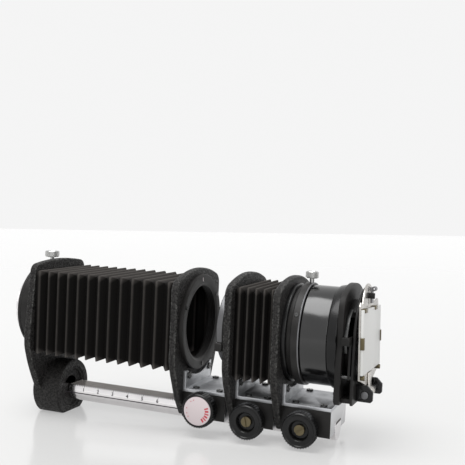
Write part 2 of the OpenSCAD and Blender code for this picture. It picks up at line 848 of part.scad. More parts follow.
module drive_knob() {
    color("black") difference() {
        knob_body(drive_x, pinion_z, drive_r);
        disc_y(drive_x, -knob_back - knob_t / 2, pinion_z, knob_t, pinion_shaft_r);
        disc_y(drive_x, -knob_front - 1, pinion_z, 1 + disc_t, disc_r);
    }
}

module drive_knob_disc() {
    color("mistyrose") disc_y(drive_x, -knob_front, pinion_z, disc_t, disc_r);
}

// ---------- clamps ----------

hollow_d = 3;
clamp_head_h = 1.6;
clamp_head_r = 3.2;
driver_slot = 0.8;

module clamp_knob(x) {
    color("black") difference() {
        knob_body(x, clamp_z, clamp_r);
        disc_y(x, -knob_front - 1, clamp_z, hollow_d + 1, knob_hollow_r);
        disc_y(x, -knob_front, clamp_z, knob_t + 4, clamp_screw_r);
    }
}

module clamp_screw(x) {
    head_y = -knob_front + hollow_d;
    shoe_y = -clamp_screw_tip - shoe_l - shoe_gap;
    color("darkgoldenrod") difference() {
        union() {
            disc_y(x, head_y - clamp_head_h, clamp_z, clamp_head_h, clamp_head_r);
            disc_y(x, head_y - eps, clamp_z, shoe_y - head_y - shoe_gap, clamp_screw_r);
        }
        translate([x - driver_slot / 2, head_y - clamp_head_h - 1, clamp_z - clamp_head_r - 1])
            cube([driver_slot, 1 + clamp_head_h / 2, 2 * clamp_head_r + 2]);
    }
}

// the shoe's inner end follows the rail
module clamp_shoe(x) {
    color("goldenrod") difference() {
        disc_y(x, -clamp_screw_tip - shoe_l - shoe_gap, clamp_z, shoe_l + 2, clamp_screw_r);
        disc_x(x - clamp_screw_r - 1, 2 * clamp_screw_r + 2, rod_r + running, rod_z);
    }
}

module front_clamp_knob() {
    clamp_knob(front_clamp_x);
}

module front_clamp_screw() {
    clamp_screw(front_clamp_x);
}

module front_clamp_shoe() {
    clamp_shoe(front_clamp_x);
}

module stage_clamp_knob() {
    clamp_knob(stage_clamp_x);
}

module stage_clamp_screw() {
    clamp_screw(stage_clamp_x);
}

module stage_clamp_shoe() {
    clamp_shoe(stage_clamp_x);
}

// ---------- drum ----------

band_screw_angle = 152;
band_screw_r = 1.1;
band_screw_l = 2;
band_screw_h = 0.4;

module mount_ring() {
    color("dimgray") ring_x(stage_front_x, mount_ring_t, mount_ring_r, drum_bore_r);
}

module at_band_screw() {
    translate([band_x + band_l / 2, 0, axis_z]) rotate([band_screw_angle - 90, 0, 0]) children();
}

module drum_collar() {
    color("dimgray") difference() {
        union() {
            disc_x(mount_ring_x, band_x - mount_ring_x + eps, neck_r);
            disc_x(band_x, band_l, band_r);
        }
        disc_x(mount_ring_x - 1, band_end_x - mount_ring_x + 2, sleeve_r + running);
        translate([drum_lock_x, 0, axis_z]) cylinder(r = lock_stem_r + running, h = band_r + 1);
        at_band_screw() translate([0, 0, band_r - band_screw_l]) cylinder(r = band_screw_r / 2, h = 4);
    }
}

module drum_collar_screw() {
    color("silver") at_band_screw() {
        translate([0, 0, band_r - band_screw_l]) cylinder(r = band_screw_r / 2, h = band_screw_l + eps);
        translate([0, 0, band_r]) cylinder(r = band_screw_r, h = band_screw_h);
    }
}

module drum_lock_screw() {
    lock_screw(drum_lock_x, band_r, sleeve_r - groove_depth + running, drum_lock_r, drum_stem_h);
}

module drum_barrel() {
    sleeve_x = mount_ring_x + face_gap;
    groove_x = drum_lock_x - groove_w / 2;
    color("black") difference() {
        union() {
            disc_x(sleeve_x, drum_back_x - sleeve_x + eps, sleeve_r);
            disc_x(drum_back_x, flare_x - drum_back_x, drum_r);
        }
        disc_x(sleeve_x - 1, flare_x - sleeve_x + 2, drum_bore_r);
        ring_x(groove_x, groove_w, sleeve_r + 1, sleeve_r - groove_depth);
    }
}

flare_start_r = 27.6;

module flare_ring() {
    color("black") difference() {
        translate([flare_x, 0, axis_z]) rotate([0, 90, 0])
            cylinder(r1 = flare_start_r, r2 = flare_r, h = plate_x - flare_x);
        disc_x(flare_x - 1, plate_x - flare_x + 2, drum_bore_r);
    }
}

// ---------- slide stage ----------

// the drum and all on it turn about the light axis
module turned() {
    translate([0, 0, axis_z]) rotate([drum_turn, 0, 0]) translate([0, 0, -axis_z]) children();
}

plate_cut = 2;
plate_half = concat(arched_half(plate_hw, plate_top, plate_arch_r, plate_corner_r),
    [[plate_hw, plate_cut - plate_low], [plate_hw - plate_cut, -plate_low]]);
slide_plate_half = concat(arc(0, slide_plate_top - slide_plate_hw, slide_plate_hw, 90, 0, 12),
    [[slide_plate_hw, plate_cut - plate_low], [slide_plate_hw - plate_cut, -plate_low]]);

pin_r = 1;
pin_y = -24;
pin_z = 46;

module at_lever_pin(x) {
    translate([x, pin_y, pin_z]) rotate([0, 90, 0]) children();
}

module stage_plate() {
    color("dimgray") turned() difference() {
        plate_x_from(plate_x, plate_t) std_outline(plate_half);
        disc_x(plate_x - 1, plate_t + 2, tube_bore_r);
        at_lever_pin(plate_x + plate_t / 2) cylinder(r = pin_r, h = plate_t);
    }
}

// an opening in the tube's near side
tube_slot_d = 8;
tube_slot_h = 14;

module light_tube() {
    color("gray") turned() difference() {
        ring_x(plate_front_x, channel_w, tube_r, tube_bore_r);
        translate([plate_front_x + 1, -tube_r - 1, axis_z + 1])
            cube([channel_w - 2, tube_slot_d, tube_slot_h]);
    }
}

floor_h = 2.2;

module channel_floor() {
    color("dimgray") turned() translate([plate_front_x, -slide_plate_hw + plate_cut, axis_z - plate_low + 1])
        cube([channel_w, 2 * (slide_plate_hw - plate_cut), floor_h]);
}

module slide_plate() {
    color("dimgray") turned() difference() {
        plate_x_from(slide_x, slide_plate_t) std_outline(slide_plate_half);
        translate([slide_x - 1, -window_hw, axis_z - window_hh])
            cube([slide_plate_t + 2, 2 * window_hw, 2 * window_hh]);
    }
}

lever_t = 1.2;
lever_hw = 1.6;
tab_z = 64.7;
tab_h = 4;
tab_out = 31.6;
lever_gap = 0.4;
tab_fold = 3.4;
lever_back_x = slide_x - lever_gap - lever_t;

module catch_lever() {
    color("dimgray") difference() {
        union() {
            disc_x(lever_back_x, lever_t, lever_hw, 0);
            translate([lever_back_x, -lever_hw, 0]) cube([lever_t, 2 * lever_hw, tab_z - pin_z + tab_h / 2]);
            translate([lever_back_x, -tab_out - pin_y, tab_z - pin_z - tab_h / 2])
                cube([lever_t, tab_out + pin_y, tab_h]);
            translate([plate_front_x + lever_gap, -tab_out - pin_y, tab_z - pin_z - tab_h / 2])
                cube([lever_back_x - plate_front_x, tab_fold, tab_h]);
        }
        disc_x(lever_back_x - 1, lever_t + 2, pin_r + running, 0);
    }
}

module slide_lever() {
    turned() translate([0, pin_y, pin_z]) catch_lever();
}

module lever_pin() {
    color("silver") turned() at_lever_pin(plate_x + plate_t / 2)
        cylinder(r = pin_r, h = slide_x - plate_x - plate_t / 2);
}

// a bowed strip that lies against the light tube and presses on the lever
strip_t = 0.5;
strip_w = 1.8;
strip_line = [[-13.66, 79.7], [-20.2, 75.5], [-25.2, 66.5], [-25.2, 62.5], [-23.4, 58]];

module lever_spring() {
    color("gainsboro") turned() plate_x_from(plate_front_x + 0.2, strip_w)
        polygon(concat(strip_line, [for (i = [len(strip_line) - 1:-1:0]) strip_line[i] + [strip_t, -0.2]]));
}

// ---------- gate ----------

ear_l = 8.6;
ear_low = 3.6;
ear_high = 5;
ear_cut = 3;
hinge_screw_r = 2;
hinge_screw_h = 0.8;

module ear(y) {
    translate([0, y + ear_t, 0]) rotate([90, 0, 0]) linear_extrude(ear_t) polygon([
        [slide_front_x, hinge_z - ear_low], [slide_front_x + ear_l - 1, hinge_z - ear_low],
        [slide_front_x + ear_l, hinge_z - ear_low + 1], [slide_front_x + ear_l, hinge_z + ear_high - ear_cut],
        [slide_front_x + ear_l - ear_cut, hinge_z + ear_high], [slide_front_x, hinge_z + ear_high]]);
}

// two ears on one foot, screwed to the slide plate
module hinge_ears() {
    foot_h = 1.6;
    foot_l = 1.4;
    color("black") turned() difference() {
        union() {
            ear(-ear_y - ear_t);
            ear(ear_y);
            translate([slide_front_x, -ear_y - eps, hinge_z - ear_low])
                cube([foot_l, 2 * ear_y + 2 * eps, foot_h]);
        }
        disc_y(hinge_x, -ear_y - ear_t - 1, hinge_z, 2 * (ear_y + ear_t + 1), hinge_rod_r);
    }
}

module hinge_rod() {
    color("silver") turned() disc_y(hinge_x, -ear_y - ear_t, hinge_z, 2 * (ear_y + ear_t), hinge_rod_r);
}

module hinge_screws() {
    color("silver") turned() for (side = [-1, 1])
        disc_y(hinge_x, side * (ear_y + ear_t + hinge_screw_h / 2) - hinge_screw_h / 2, hinge_z,
            hinge_screw_h, hinge_screw_r);
}

// gate pieces are drawn upright over the hinge and lean together
module leaning() {
    turned() translate([hinge_x, 0, hinge_z]) rotate([0, -gate_lean, 0]) children();
}

gate_back = -1.7;
gate_low = 4;
knuckle_r = 2.3;
knuckle_hl = 4;
slot_w = 2.4;
slot_low = 46;
slot_high = 55;
gate_foot_hw = 8;
gate_taper_z = 8.6;
window_z = 26.9;
lobe_from = 18;

module gate_outline() {
    polygon(concat(
        [[gate_hw, gate_h - 2], [gate_hw - 2, gate_h]],
        arc(-lobe_y, lobe_h - lobe_r, lobe_r, lobe_from, 180 - lobe_from, 14),
        [[-gate_hw + 2, gate_h], [-gate_hw, gate_h - 2], [-gate_hw, gate_taper_z], [-gate_foot_hw, gate_low],
         [gate_foot_hw, gate_low], [gate_hw, gate_taper_z]]));
}

module gate_plate() {
    color("lightgray") leaning() {
        difference() {
            plate_x_from(gate_back, gate_t) gate_outline();
            translate([gate_back - 1, -window_hw, window_z - window_hh])
                cube([gate_t + 2, 2 * window_hw, 2 * window_hh]);
            translate([gate_back - 1, -lobe_y - slot_w / 2, slot_low])
                cube([gate_t + 2, slot_w, slot_high - slot_low]);
        }
    }
}

lug_t = 0.9;

module gate_lug() {
    color("lightgray") leaning() difference() {
        union() {
            disc_y(0, -knuckle_hl, 0, 2 * knuckle_hl, knuckle_r);
            translate([gate_back + gate_t, -knuckle_hl, 0]) cube([lug_t, 2 * knuckle_hl, opal_low - 1]);
        }
        disc_y(0, -knuckle_hl - 1, 0, 2 * knuckle_hl + 2, hinge_rod_r + running);
    }
}

module opal_panel() {
    color("white") leaning() translate([gate_back + gate_t, -opal_hw, opal_low])
        cube([opal_t, 2 * opal_hw, opal_h]);
}

clip_t = 0.5;
clip_lap = 1.6;

// a clip on the gate that laps over the opal's edge, at (y, z) with its reach along the given side
module side_clip(side, z, h) {
    y = side * opal_hw;
    translate([gate_back + gate_t + opal_t, side > 0 ? y - clip_lap : y, z])
        cube([clip_t, clip_lap, h]);
    translate([gate_back + gate_t, side > 0 ? y : y - clip_t, z]) cube([opal_t + clip_t, clip_t, h]);
}

clip_top_z = opal_low + opal_h;

module top_clip(y, w) {
    translate([gate_back + gate_t, y, clip_top_z]) cube([opal_t + clip_t, w, clip_t]);
    translate([gate_back + gate_t + opal_t, y, clip_top_z - clip_lap]) cube([clip_t, w, clip_lap + eps]);
}

side_clip_up = 13;
side_clip_h = 6;
top_clip_places = [-22, 6];
top_clip_w = 6;
// pins under the opal's lower edge
stop_r = 1.3;
stop_y = 22.4;

module opal_clips() {
    color("gray") leaning() {
        for (side = [-1, 1]) side_clip(side, opal_low + side_clip_up, side_clip_h);
        for (y = top_clip_places) top_clip(y, top_clip_w);
        for (side = [-1, 1])
            translate([gate_back + gate_t, side * stop_y, opal_low - stop_r]) rotate([0, 90, 0])
                cylinder(r = stop_r, h = opal_t + clip_t);
    }
}

// a folded spring strip on the gate's lobe with a curled finger end
latch_w = 5;
latch_y = 2;
latch_low = clip_top_z + 2;
latch_h = 8;
curl_r = 1.3;
curl_t = 0.6;

module gate_latch() {
    x = gate_back + gate_t;
    curl_z = latch_low + latch_h - curl_t / 2;
    color("gainsboro") leaning() difference() {
        union() {
            translate([x, latch_y, latch_low]) cube([curl_t, latch_w, latch_h]);
            translate([x + curl_r, latch_y, curl_z]) rotate([-90, 0, 0]) cylinder(r = curl_r, h = latch_w);
        }
        translate([x + curl_r, latch_y - 1, curl_z]) rotate([-90, 0, 0])
            cylinder(r = curl_r - curl_t, h = latch_w + 2);
    }
}

tongue_w = 1.2;
tongue_h = 3;
tongue_l = 4.6;

// the tongue on the slide plate that stands in the gate's slot
module gate_tongue() {
    color("dimgray") turned() translate([slide_front_x, -lobe_y - tongue_w / 2, hinge_z + slot_low + 3])
        cube([tongue_l, tongue_w, tongue_h]);
}

rail_rod();
rear_standard();
rail_grub_screw();
rear_collar();
camera_ring();
rear_lock_screw();
long_bellows();
lens_standard();
lens_ring();
lens_ring_screws();
lens_bracket();
lens_bracket_screws();
lens_block();
pinion();
pinion_shaft();
shaft_collar();
drive_knob();
drive_knob_disc();
front_standard();
adapter_base();
adapter_tube();
adapter_catch();
front_bracket();
front_bracket_screws();
front_block();
front_clamp_knob();
front_clamp_screw();
front_clamp_shoe();
short_bellows();
stage_standard();
stage_bracket();
stage_bracket_screws();
stage_block();
stage_clamp_knob();
stage_clamp_screw();
stage_clamp_shoe();
mount_ring();
drum_collar();
drum_collar_screw();
drum_lock_screw();
drum_barrel();
flare_ring();
stage_plate();
light_tube();
channel_floor();
slide_plate();
slide_lever();
lever_pin();
lever_spring();
hinge_ears();
hinge_rod();
hinge_screws();
gate_plate();
gate_lug();
opal_panel();
opal_clips();
gate_latch();
gate_tongue();
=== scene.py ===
"""Extension bellows and slide duplicator on a round rail, dressed over its packed frame."""

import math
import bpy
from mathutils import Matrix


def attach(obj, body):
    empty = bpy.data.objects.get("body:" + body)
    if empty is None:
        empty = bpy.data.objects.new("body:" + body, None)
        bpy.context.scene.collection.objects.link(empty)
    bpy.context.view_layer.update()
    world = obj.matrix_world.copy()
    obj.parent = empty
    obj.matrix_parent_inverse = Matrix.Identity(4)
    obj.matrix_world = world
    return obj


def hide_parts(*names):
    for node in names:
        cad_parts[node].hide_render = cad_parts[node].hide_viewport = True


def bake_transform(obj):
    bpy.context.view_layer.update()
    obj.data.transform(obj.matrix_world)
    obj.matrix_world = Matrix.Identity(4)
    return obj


bl_info = {
    "name": "Bellows and slide duplicator",
    "version": (1, 0, 0),
    "blender": (4, 5, 0),
    "location": "View3D > Sidebar > Duplicator",
    "description": "Builds the looks of a bellows and slide duplicator over its CAD frame",
    "category": "Add Mesh",
}

import bmesh
import bpy
from bpy.props import FloatProperty, FloatVectorProperty, IntProperty, PointerProperty
from mathutils import Matrix, Vector

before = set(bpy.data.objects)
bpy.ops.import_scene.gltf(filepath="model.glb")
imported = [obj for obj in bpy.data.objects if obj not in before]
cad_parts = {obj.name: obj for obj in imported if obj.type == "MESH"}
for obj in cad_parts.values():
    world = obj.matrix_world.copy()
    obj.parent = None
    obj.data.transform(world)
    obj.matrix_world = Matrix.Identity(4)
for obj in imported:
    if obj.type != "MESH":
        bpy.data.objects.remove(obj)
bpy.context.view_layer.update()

MM = 0.001
TAU = 2 * math.pi

# Places and sizes in millimetres: X runs along the rail, Z is up from the foot. Those that a CAD node
# also has are the same as in the part's source.

# The light axis, which the bellows, rings and drum share, and the rail
AXIS_Z = 63.4
ROD_Z, ROD_R = 14.0, 7.0
RACK_TIP, RACK_ROOT = 3.6, 2.5

# Standards: the back face of each, their thickness and bore, the rear boss and the arch over the rail
REAR_X, REAR_T = -6.7, 4.1
LENS_X, FRONT_X, STAGE_X, STD_T = 87.7, 118.9, 145.7, 4.1
BORE_R = 23.5
BOSS_R, BOSS_HALF, BOSS_RECESS_R = 17.1, 9, 11.0
STD_FOOT, NOTCH_R = 50.9, 7.3

# Bellows: half width, half height, depth of the folds at the sides and above, cut of the ridges' corners
LONG_SKIN, LONG_PLEATS, LONG_ENDS, LONG_CROWD = (28, 24.6, 3.7, 1.4, 4), 13, (3.8, 2.5), 0.1
SHORT_SKIN, SHORT_PLEATS, SHORT_ENDS = (26, 25, 3.2, 2.6, 4), 5, (3, 1.5)
SIDE_CUT, VALLEY_CUT, HALF_FOLD = 0.3, 0.6, 0.55

# Rings and threads round the light axis
THREAD_R, THREAD_PITCH = 21.0, 0.5
COLLAR_R = 27
RING_SCREW_AT, RING_SCREW_ANGLES, INDEX_ANGLE = 24.6, (-85, 35, 155), 93
BAND_SCREW_X, BAND_SCREW_AT, BAND_SCREW_ANGLE = 157.3, 27.97, 152

# Lock screws: place along the rail, heights of the head and of the stem's tip over the light axis, radius
REAR_LOCK = (-9.7, 30.6, 23.05, 4.4)
DRUM_LOCK = (158.18, 30.4, 23.05, 3.6)

# Marks on the rail: the first of them, their pitch and count, and angles above the near side in degrees
MARK_X, MARK_PITCH, MARK_COUNT = 21.1, 10.0, 6
TICK_LOW, TICK_HIGH, NUMERAL_ANGLE, NUMERAL_SHIFT = 22, 31, 9.5, -0.3
# a dark band painted along the rail as the plating's reflection: its ends and its angles
LINE_X0, LINE_X1, LINE_LOW, LINE_HIGH = 8.0, 176.0, -12.5, -7.6

# Blocks, brackets and the places of the brackets' screws
LENS_BLOCK_L, FRONT_BLOCK_L, STAGE_BLOCK_L = 25.6, 22.4, 26.8
BLOCK_TOP, SHEET_T = 26.5, 1.7
SCREW_Y, SCREW_FROM_BACK, SCREW_FROM_END, WALL_SCREW_Z, HEAD_SINK = 14.2, 6.6, 4.9, 35, 0.02

# Knobs: Y of the face, of the rim's back and of the hub's end, radii and places
KNOB_FRONT, KNOB_BACK, KNOB_HUB = -28.0, -21.0, -18.3
KNOB_R, HUB_R, DISC_R = 9.6, 5.5, 7.8
DRIVE_X, DRIVE_Z = 105.2, 19.38
FRONT_CLAMP_X, STAGE_CLAMP_X, CLAMP_Z, CLAMP_SCREW_R = 132.9, 162.2, 17.2, 2.5
BAR_AT, SPOT_AT, SPOT_ANGLES = 5.7, 6.2, (112, 128, 170, 196, 214)

# Mesh making: the least angle of an edge that is rounded, and a hole's share of its rim's rounding
BEVEL_ANGLE = 30
HOLE_SHARE = 0.25

# Camera: width of the picture and focal length in its pixels, the view's angles in degrees, its place
PHOTO_WIDTH, FOCAL_PIXELS, SENSOR_WIDTH = 465, 751, 36
VIEW_AZIMUTH, VIEW_ELEVATION, VIEW_ROLL = 20.94, 2.35, 2.59
CAMERA_AT = (262.8, -398.3, 133.5)

# Table: half its side in metres, its slope in the photo, and the point that it turns about
TABLE_REACH = 4.0
TABLE_TILT = math.atan2(7.0, 168.0)
TABLE_AT = (8.7, 0, -0.05)


# ---------------------------------------------------------------- shader wiring

class Wire:
    """A shader value that adds its Math nodes when it is used in an expression."""

    def __init__(self, finish, socket):
        self.finish = finish
        self.socket = socket

    def __add__(self, other):
        return self.finish.maths("ADD", self, other)

    def __radd__(self, other):
        return self.finish.maths("ADD", other, self)

    def __sub__(self, other):
        return self.finish.maths("SUBTRACT", self, other)

    def __rsub__(self, other):
        return self.finish.maths("SUBTRACT", other, self)

    def __mul__(self, other):
        return self.finish.maths("MULTIPLY", self, other)

    def __rmul__(self, other):
        return self.finish.maths("MULTIPLY", other, self)

    def __truediv__(self, other):
        return self.finish.maths("DIVIDE", self, other)

    def __rtruediv__(self, other):
        return self.finish.maths("DIVIDE", other, self)

    def __pow__(self, other):
        return self.finish.maths("POWER", self, other)


class Finish:
    """A material whose shader nodes are made and wired by expressions."""

    def __init__(self, name, **constants):
        self.material = bpy.data.materials.new(name)
        self.material.use_nodes = True
        self.tree = self.material.node_tree
        self.tree.nodes.clear()
        self.shader = self.tree.nodes.new("ShaderNodeBsdfPrincipled")
        output = self.tree.nodes.new("ShaderNodeOutputMaterial")
        self.tree.links.new(self.shader.outputs["BSDF"], output.inputs["Surface"])
        for label, value in constants.items():
            self.plug(self.shader.inputs[label.replace("_", " ").title().replace("Ior", "IOR")], value)
        self.place = self.make("ShaderNodeTexCoord", output="Object")

    def plug(self, socket, value):
        """Links a shader value to a socket, or sets a plain one."""
        if isinstance(value, Wire):
            self.tree.links.new(value.socket, socket)
        elif socket.type == "RGBA" and len(value) == 3:
            socket.default_value = (*value, 1.0)
        else:
            socket.default_value = value

    def make(self, kind, settings=None, inputs=None, output=0):
        """A node with its settings and inputs, as the shader value that it gives."""
        node = self.tree.nodes.new(kind)
        for key, value in (settings or {}).items():
            if key == "stops":
                ramp = node.color_ramp.elements
                while len(ramp) < len(value):
                    ramp.new(0.5)
                for stop, (at, shade) in zip(ramp, value):
                    stop.position = at
                    stop.color = (shade, shade, shade, 1.0)
            else:
                setattr(node, key, value)
        for key, value in (inputs or {}).items():
            self.plug(node.inputs[key], value)
        return Wire(self, node.outputs[output])

    def maths(self, operation, a, b):
        return self.make("ShaderNodeMath", {"operation": operation}, {0: a, 1: b})

    def stretched(self, scale):
        """The object's own place, stretched along its axes."""
        return self.make("ShaderNodeMapping", None, {"Vector": self.place, "Scale": scale}, "Vector")

    def noise(self, scale, detail=3.0, distortion=0.0, stretch=(1, 1, 1)):
        return self.make("ShaderNodeTexNoise", None,
                         {"Vector": self.stretched(stretch), "Scale": scale, "Detail": detail,
                          "Distortion": distortion}, "Fac")

    def wave(self, scale, direction):
        return self.make("ShaderNodeTexWave", {"bands_direction": direction},
                         {"Vector": self.place, "Scale": scale, "Distortion": 1.5}, "Fac")

    def ramp(self, value, *stops):
        """A value run through stops of (position, grey)."""
        return self.make("ShaderNodeValToRGB", {"stops": stops}, {"Fac": value}, "Color")

    def attribute(self, name):
        """A value kept on the mesh."""
        return self.make("ShaderNodeAttribute", {"attribute_name": name}, None, "Fac")

    def mix(self, factor, a, b):
        """A colour between two others."""
        return self.make("ShaderNodeMix", {"data_type": "RGBA"}, {0: factor, 6: a, 7: b}, 2)

    def set(self, **values):
        """Sets or links inputs of the surface shader."""
        for label, value in values.items():
            self.plug(self.shader.inputs[label.replace("_", " ").title()], value)

    def bump(self, height, distance, strength=1.0):
        """Relief from a height, over a distance in metres."""
        bump = self.make("ShaderNodeBump", None,
                         {"Height": height, "Distance": distance, "Strength": strength}, "Normal")
        self.set(normal=bump)


def shade_of(color, factor):
    """A colour made darker or paler."""
    return tuple(min(1.0, c * factor) for c in color)


def wrinkle_paint(s):
    """Black wrinkle paint on the castings: short worms with duller valleys, rubbed along the edges."""
    f = Finish("wrinkle paint", specular_ior_level=0.22)
    worms = f.noise(s.wrinkle_scale, 2.0, 0.6)
    fine = f.noise(s.wrinkle_scale * 2.3, 2.0, 0.3)
    height = f.ramp(worms, (0.42, 0.0), (0.60, 1.0)) * 0.8 + fine * 0.2
    # paler on the rounded edges: wear, and a painted sheen
    rub_and_sheen = f.attribute("edge") * f.ramp(f.noise(300, 4.0), (0.34, 0.0), (0.58, 1.0))
    # painted highlight and shade: the worms' tops paler, their valleys darker
    tone_and_painted_light = f.mix(height, shade_of(s.paint, 0.3), shade_of(s.paint, 1.7))
    worn_edge_and_sheen = (0.11, 0.11, 0.105)
    f.set(base_color=f.mix(rub_and_sheen * height, tone_and_painted_light, worn_edge_and_sheen), roughness=0.6 - height * 0.2)
    f.bump(height, s.wrinkle_depth, 1.0)
    return f.material


def satin_paint(s):
    """Smooth black paint with a faint orange peel and dusty patches."""
    f = Finish("satin paint", specular_ior_level=0.2)
    peel = f.noise(700, 2.0)
    dust = f.ramp(f.noise(60, 4.0), (0.42, 0.0), (0.75, 1.0))
    f.set(base_color=f.mix(dust, shade_of(s.paint, 0.55), shade_of(s.paint, 0.55 * 1.8)),
          roughness=0.4 + dust * 0.12)
    f.bump(peel, 0.00004, 0.5)
    return f.material


def block_paint(s):
    """Satin black on the blocks' sides, milled bare metal on their ends."""
    f = Finish("block paint", specular_ior_level=0.22)
    bare = f.attribute("bare")
    lines = f.noise(900, 3.0, 0.0, (1, 1, 0.04))
    dust = f.ramp(f.noise(60, 4.0), (0.42, 0.0), (0.75, 1.0))
    dark = f.mix(dust, shade_of(s.paint, 0.5), shade_of(s.paint, 1.3))
    milled = (0.62, 0.62, 0.63)
    f.set(base_color=f.mix(bare, dark, milled), metallic=bare,
          roughness=0.4 - bare * 0.06 + lines * 0.12)
    f.bump(lines, 0.00003, 0.5)
    return f.material


def gloss_paint(s, name="gloss black", level=0.3, rough=0.2):
    """Glossy black lacquer of the knobs and, glossier, of the drum."""
    f = Finish(name, specular_ior_level=level)
    peel = f.noise(260, 2.0)
    smear = f.ramp(f.noise(45, 5.0, 0.5), (0.45, 0.0), (0.8, 1.0))
    f.set(base_color=f.mix(smear, s.gloss, shade_of(s.gloss, 2.2)), roughness=rough + smear * 0.12)
    f.bump(peel, 0.00002, 0.4)
    return f.material


def collar_paint(s):
    """Greyer satin black of the collars, turned with fine rings."""
    f = Finish("turned satin black", specular_ior_level=0.25)
    rings = f.noise(1400, 2.0, 0.0, (1, 0.04, 0.04))
    dust = f.ramp(f.noise(70, 4.0), (0.4, 0.0), (0.75, 1.0))
    f.set(base_color=f.mix(dust, shade_of(s.paint, 0.6), shade_of(s.paint, 1.6)),
          roughness=0.34 + rings * 0.14)
    f.bump(rings, 0.00003, 0.5)
    return f.material


def plated_rod():
    """Polished plating with faint lines along the rail and dark gaps between the rack's teeth."""
    f = Finish("polished plating")
    rise = f.make("ShaderNodeSeparateXYZ", None, {"Vector": f.place}, "Z") - ROD_Z * MM
    side = f.make("ShaderNodeSeparateXYZ", None, {"Vector": f.place}, "Y")
    inner = f.maths("LESS_THAN", rise * rise + side * side, (0.985 * ROD_R * MM) ** 2)
    tip = f.maths("GREATER_THAN", rise, RACK_TIP * MM)
    gap = f.maths("GREATER_THAN", rise, RACK_ROOT * MM) * (1.0 - tip) * inner
    lines = f.noise(900, 3.0, 0.0, (0.02, 1, 1))
    haze = f.ramp(f.noise(50, 4.0), (0.4, 0.0), (0.8, 1.0))
    plating = f.mix(haze, (0.86, 0.84, 0.845), (0.74, 0.72, 0.73))
    # painted shade: the tips of the teeth dimmed and the gaps between them near black
    tooth_tip, painted_shade_gap = (0.40, 0.37, 0.35), (0.018, 0.014, 0.011)
    f.set(base_color=f.mix(gap, f.mix(tip * inner, plating, tooth_tip), painted_shade_gap),
          metallic=1.0 - gap, roughness=0.1 + haze * 0.08 + lines * 0.05 + gap * 0.5)
    f.bump(lines, 0.00001, 0.5)
    return f.material


def bare_metal(name, color, rough):
    """Bare metal with fine rubbing lines and slight tarnish."""
    f = Finish(name, metallic=1.0)
    lines = f.noise(1500, 3.0, 0.0, (1, 0.05, 1))
    tarnish = f.ramp(f.noise(110, 5.0, 0.4), (0.4, 0.0), (0.78, 1.0))
    f.set(base_color=f.mix(tarnish, color, shade_of(color, 0.7)),
          roughness=rough + lines * 0.1 + tarnish * 0.1)
    f.bump(lines, 0.00001, 0.4)
    return f.material


def bellows_skin(s):
    """Matt pleated skin: a fine weave, rubbed paler along the folds and on their corners."""
    f = Finish("bellows skin", specular_ior_level=0.08)
    weave = (f.wave(420, "X") + f.wave(420, "Z")) * 0.5
    # paler along the ridges: wear, and a painted sheen
    rub_and_sheen = f.ramp(f.attribute("fold"), (0.0, 1.0), (0.2, 0.0))
    # painted light: paler top and bottom faces at the ridges' corners
    corner = f.attribute("corner")
    patches = f.noise(120, 4.0)
    wear_and_light = rub_and_sheen * (patches * 0.4 + 0.2) + corner * (patches * 0.5 + 0.45)
    f.set(base_color=f.mix(wear_and_light, s.skin, shade_of(s.skin, 15.0)), roughness=0.74 + patches * 0.16)
    f.bump(weave * 0.6 + patches * 0.4, 0.00008, 0.55)
    return f.material


def moulded(name, color, rough, vary=0.9, scale=180):
    """Even moulded or sprayed surface with slight mottling."""
    f = Finish(name, specular_ior_level=0.5)
    mottle = f.noise(scale, 4.0)
    f.set(base_color=f.mix(mottle, shade_of(color, vary), color), roughness=rough + mottle * 0.1)
    f.bump(f.noise(900, 2.0), 0.00002, 0.4)
    return f.material


looks = {}


def make_looks(s):
    """Every finish of the object, by the name of its slot or of its own."""
    looks["wrinkle_black"] = wrinkle_paint(s)
    looks["satin_black"] = satin_paint(s)
    looks["block_black"] = block_paint(s)
    looks["collar_black"] = collar_paint(s)
    looks["gloss_black"] = gloss_paint(s)
    looks["drum_black"] = gloss_paint(s, "drum black", 0.75, 0.16)
    looks["polished_rod"] = plated_rod()
    looks["bracket_sheet"] = bare_metal("satin sheet", s.sheet, 0.42)
    looks["screw_steel"] = bare_metal("bare steel", (0.50, 0.50, 0.50), 0.26)
    looks["dark_screw"] = bare_metal("blackened screw", (0.09, 0.09, 0.09), 0.3)
    looks["adapter_tube"] = bare_metal("blackened tube", (0.15, 0.15, 0.155), 0.3)
    looks["spring_steel"] = bare_metal("spring steel", (0.24, 0.24, 0.25), 0.28)
    looks["knurled_steel"] = bare_metal("knurled steel", (0.56, 0.56, 0.55), 0.25)
    looks["nickel"] = bare_metal("nickel sheet", (0.52, 0.50, 0.47), 0.2)
    looks["brass"] = bare_metal("turned brass", (0.15, 0.125, 0.075), 0.26)
    looks["bellows_skin"] = bellows_skin(s)
    looks["white_disc"] = moulded("disc enamel", (0.62, 0.545, 0.555), 0.3, 0.97)
    looks["opal"] = moulded("opal panel", s.opal, 0.28, 0.98, 60)
    looks["mark_black"] = moulded("scale marks", (0.03, 0.025, 0.03), 0.5)
    looks["mark_red"] = moulded("red marks", s.red, 0.5)


# ---------------------------------------------------------------- mesh making

def finished(bm, name, sharp=38, normals=True):
    """A mesh from a bmesh, smooth but for its sharp edges."""
    if normals:
        bmesh.ops.recalc_face_normals(bm, faces=bm.faces)
    mesh = bpy.data.meshes.new(name)
    bm.to_mesh(mesh)
    bm.free()
    mesh.shade_smooth()
    mesh.set_sharp_from_angle(angle=math.radians(sharp))
    return mesh


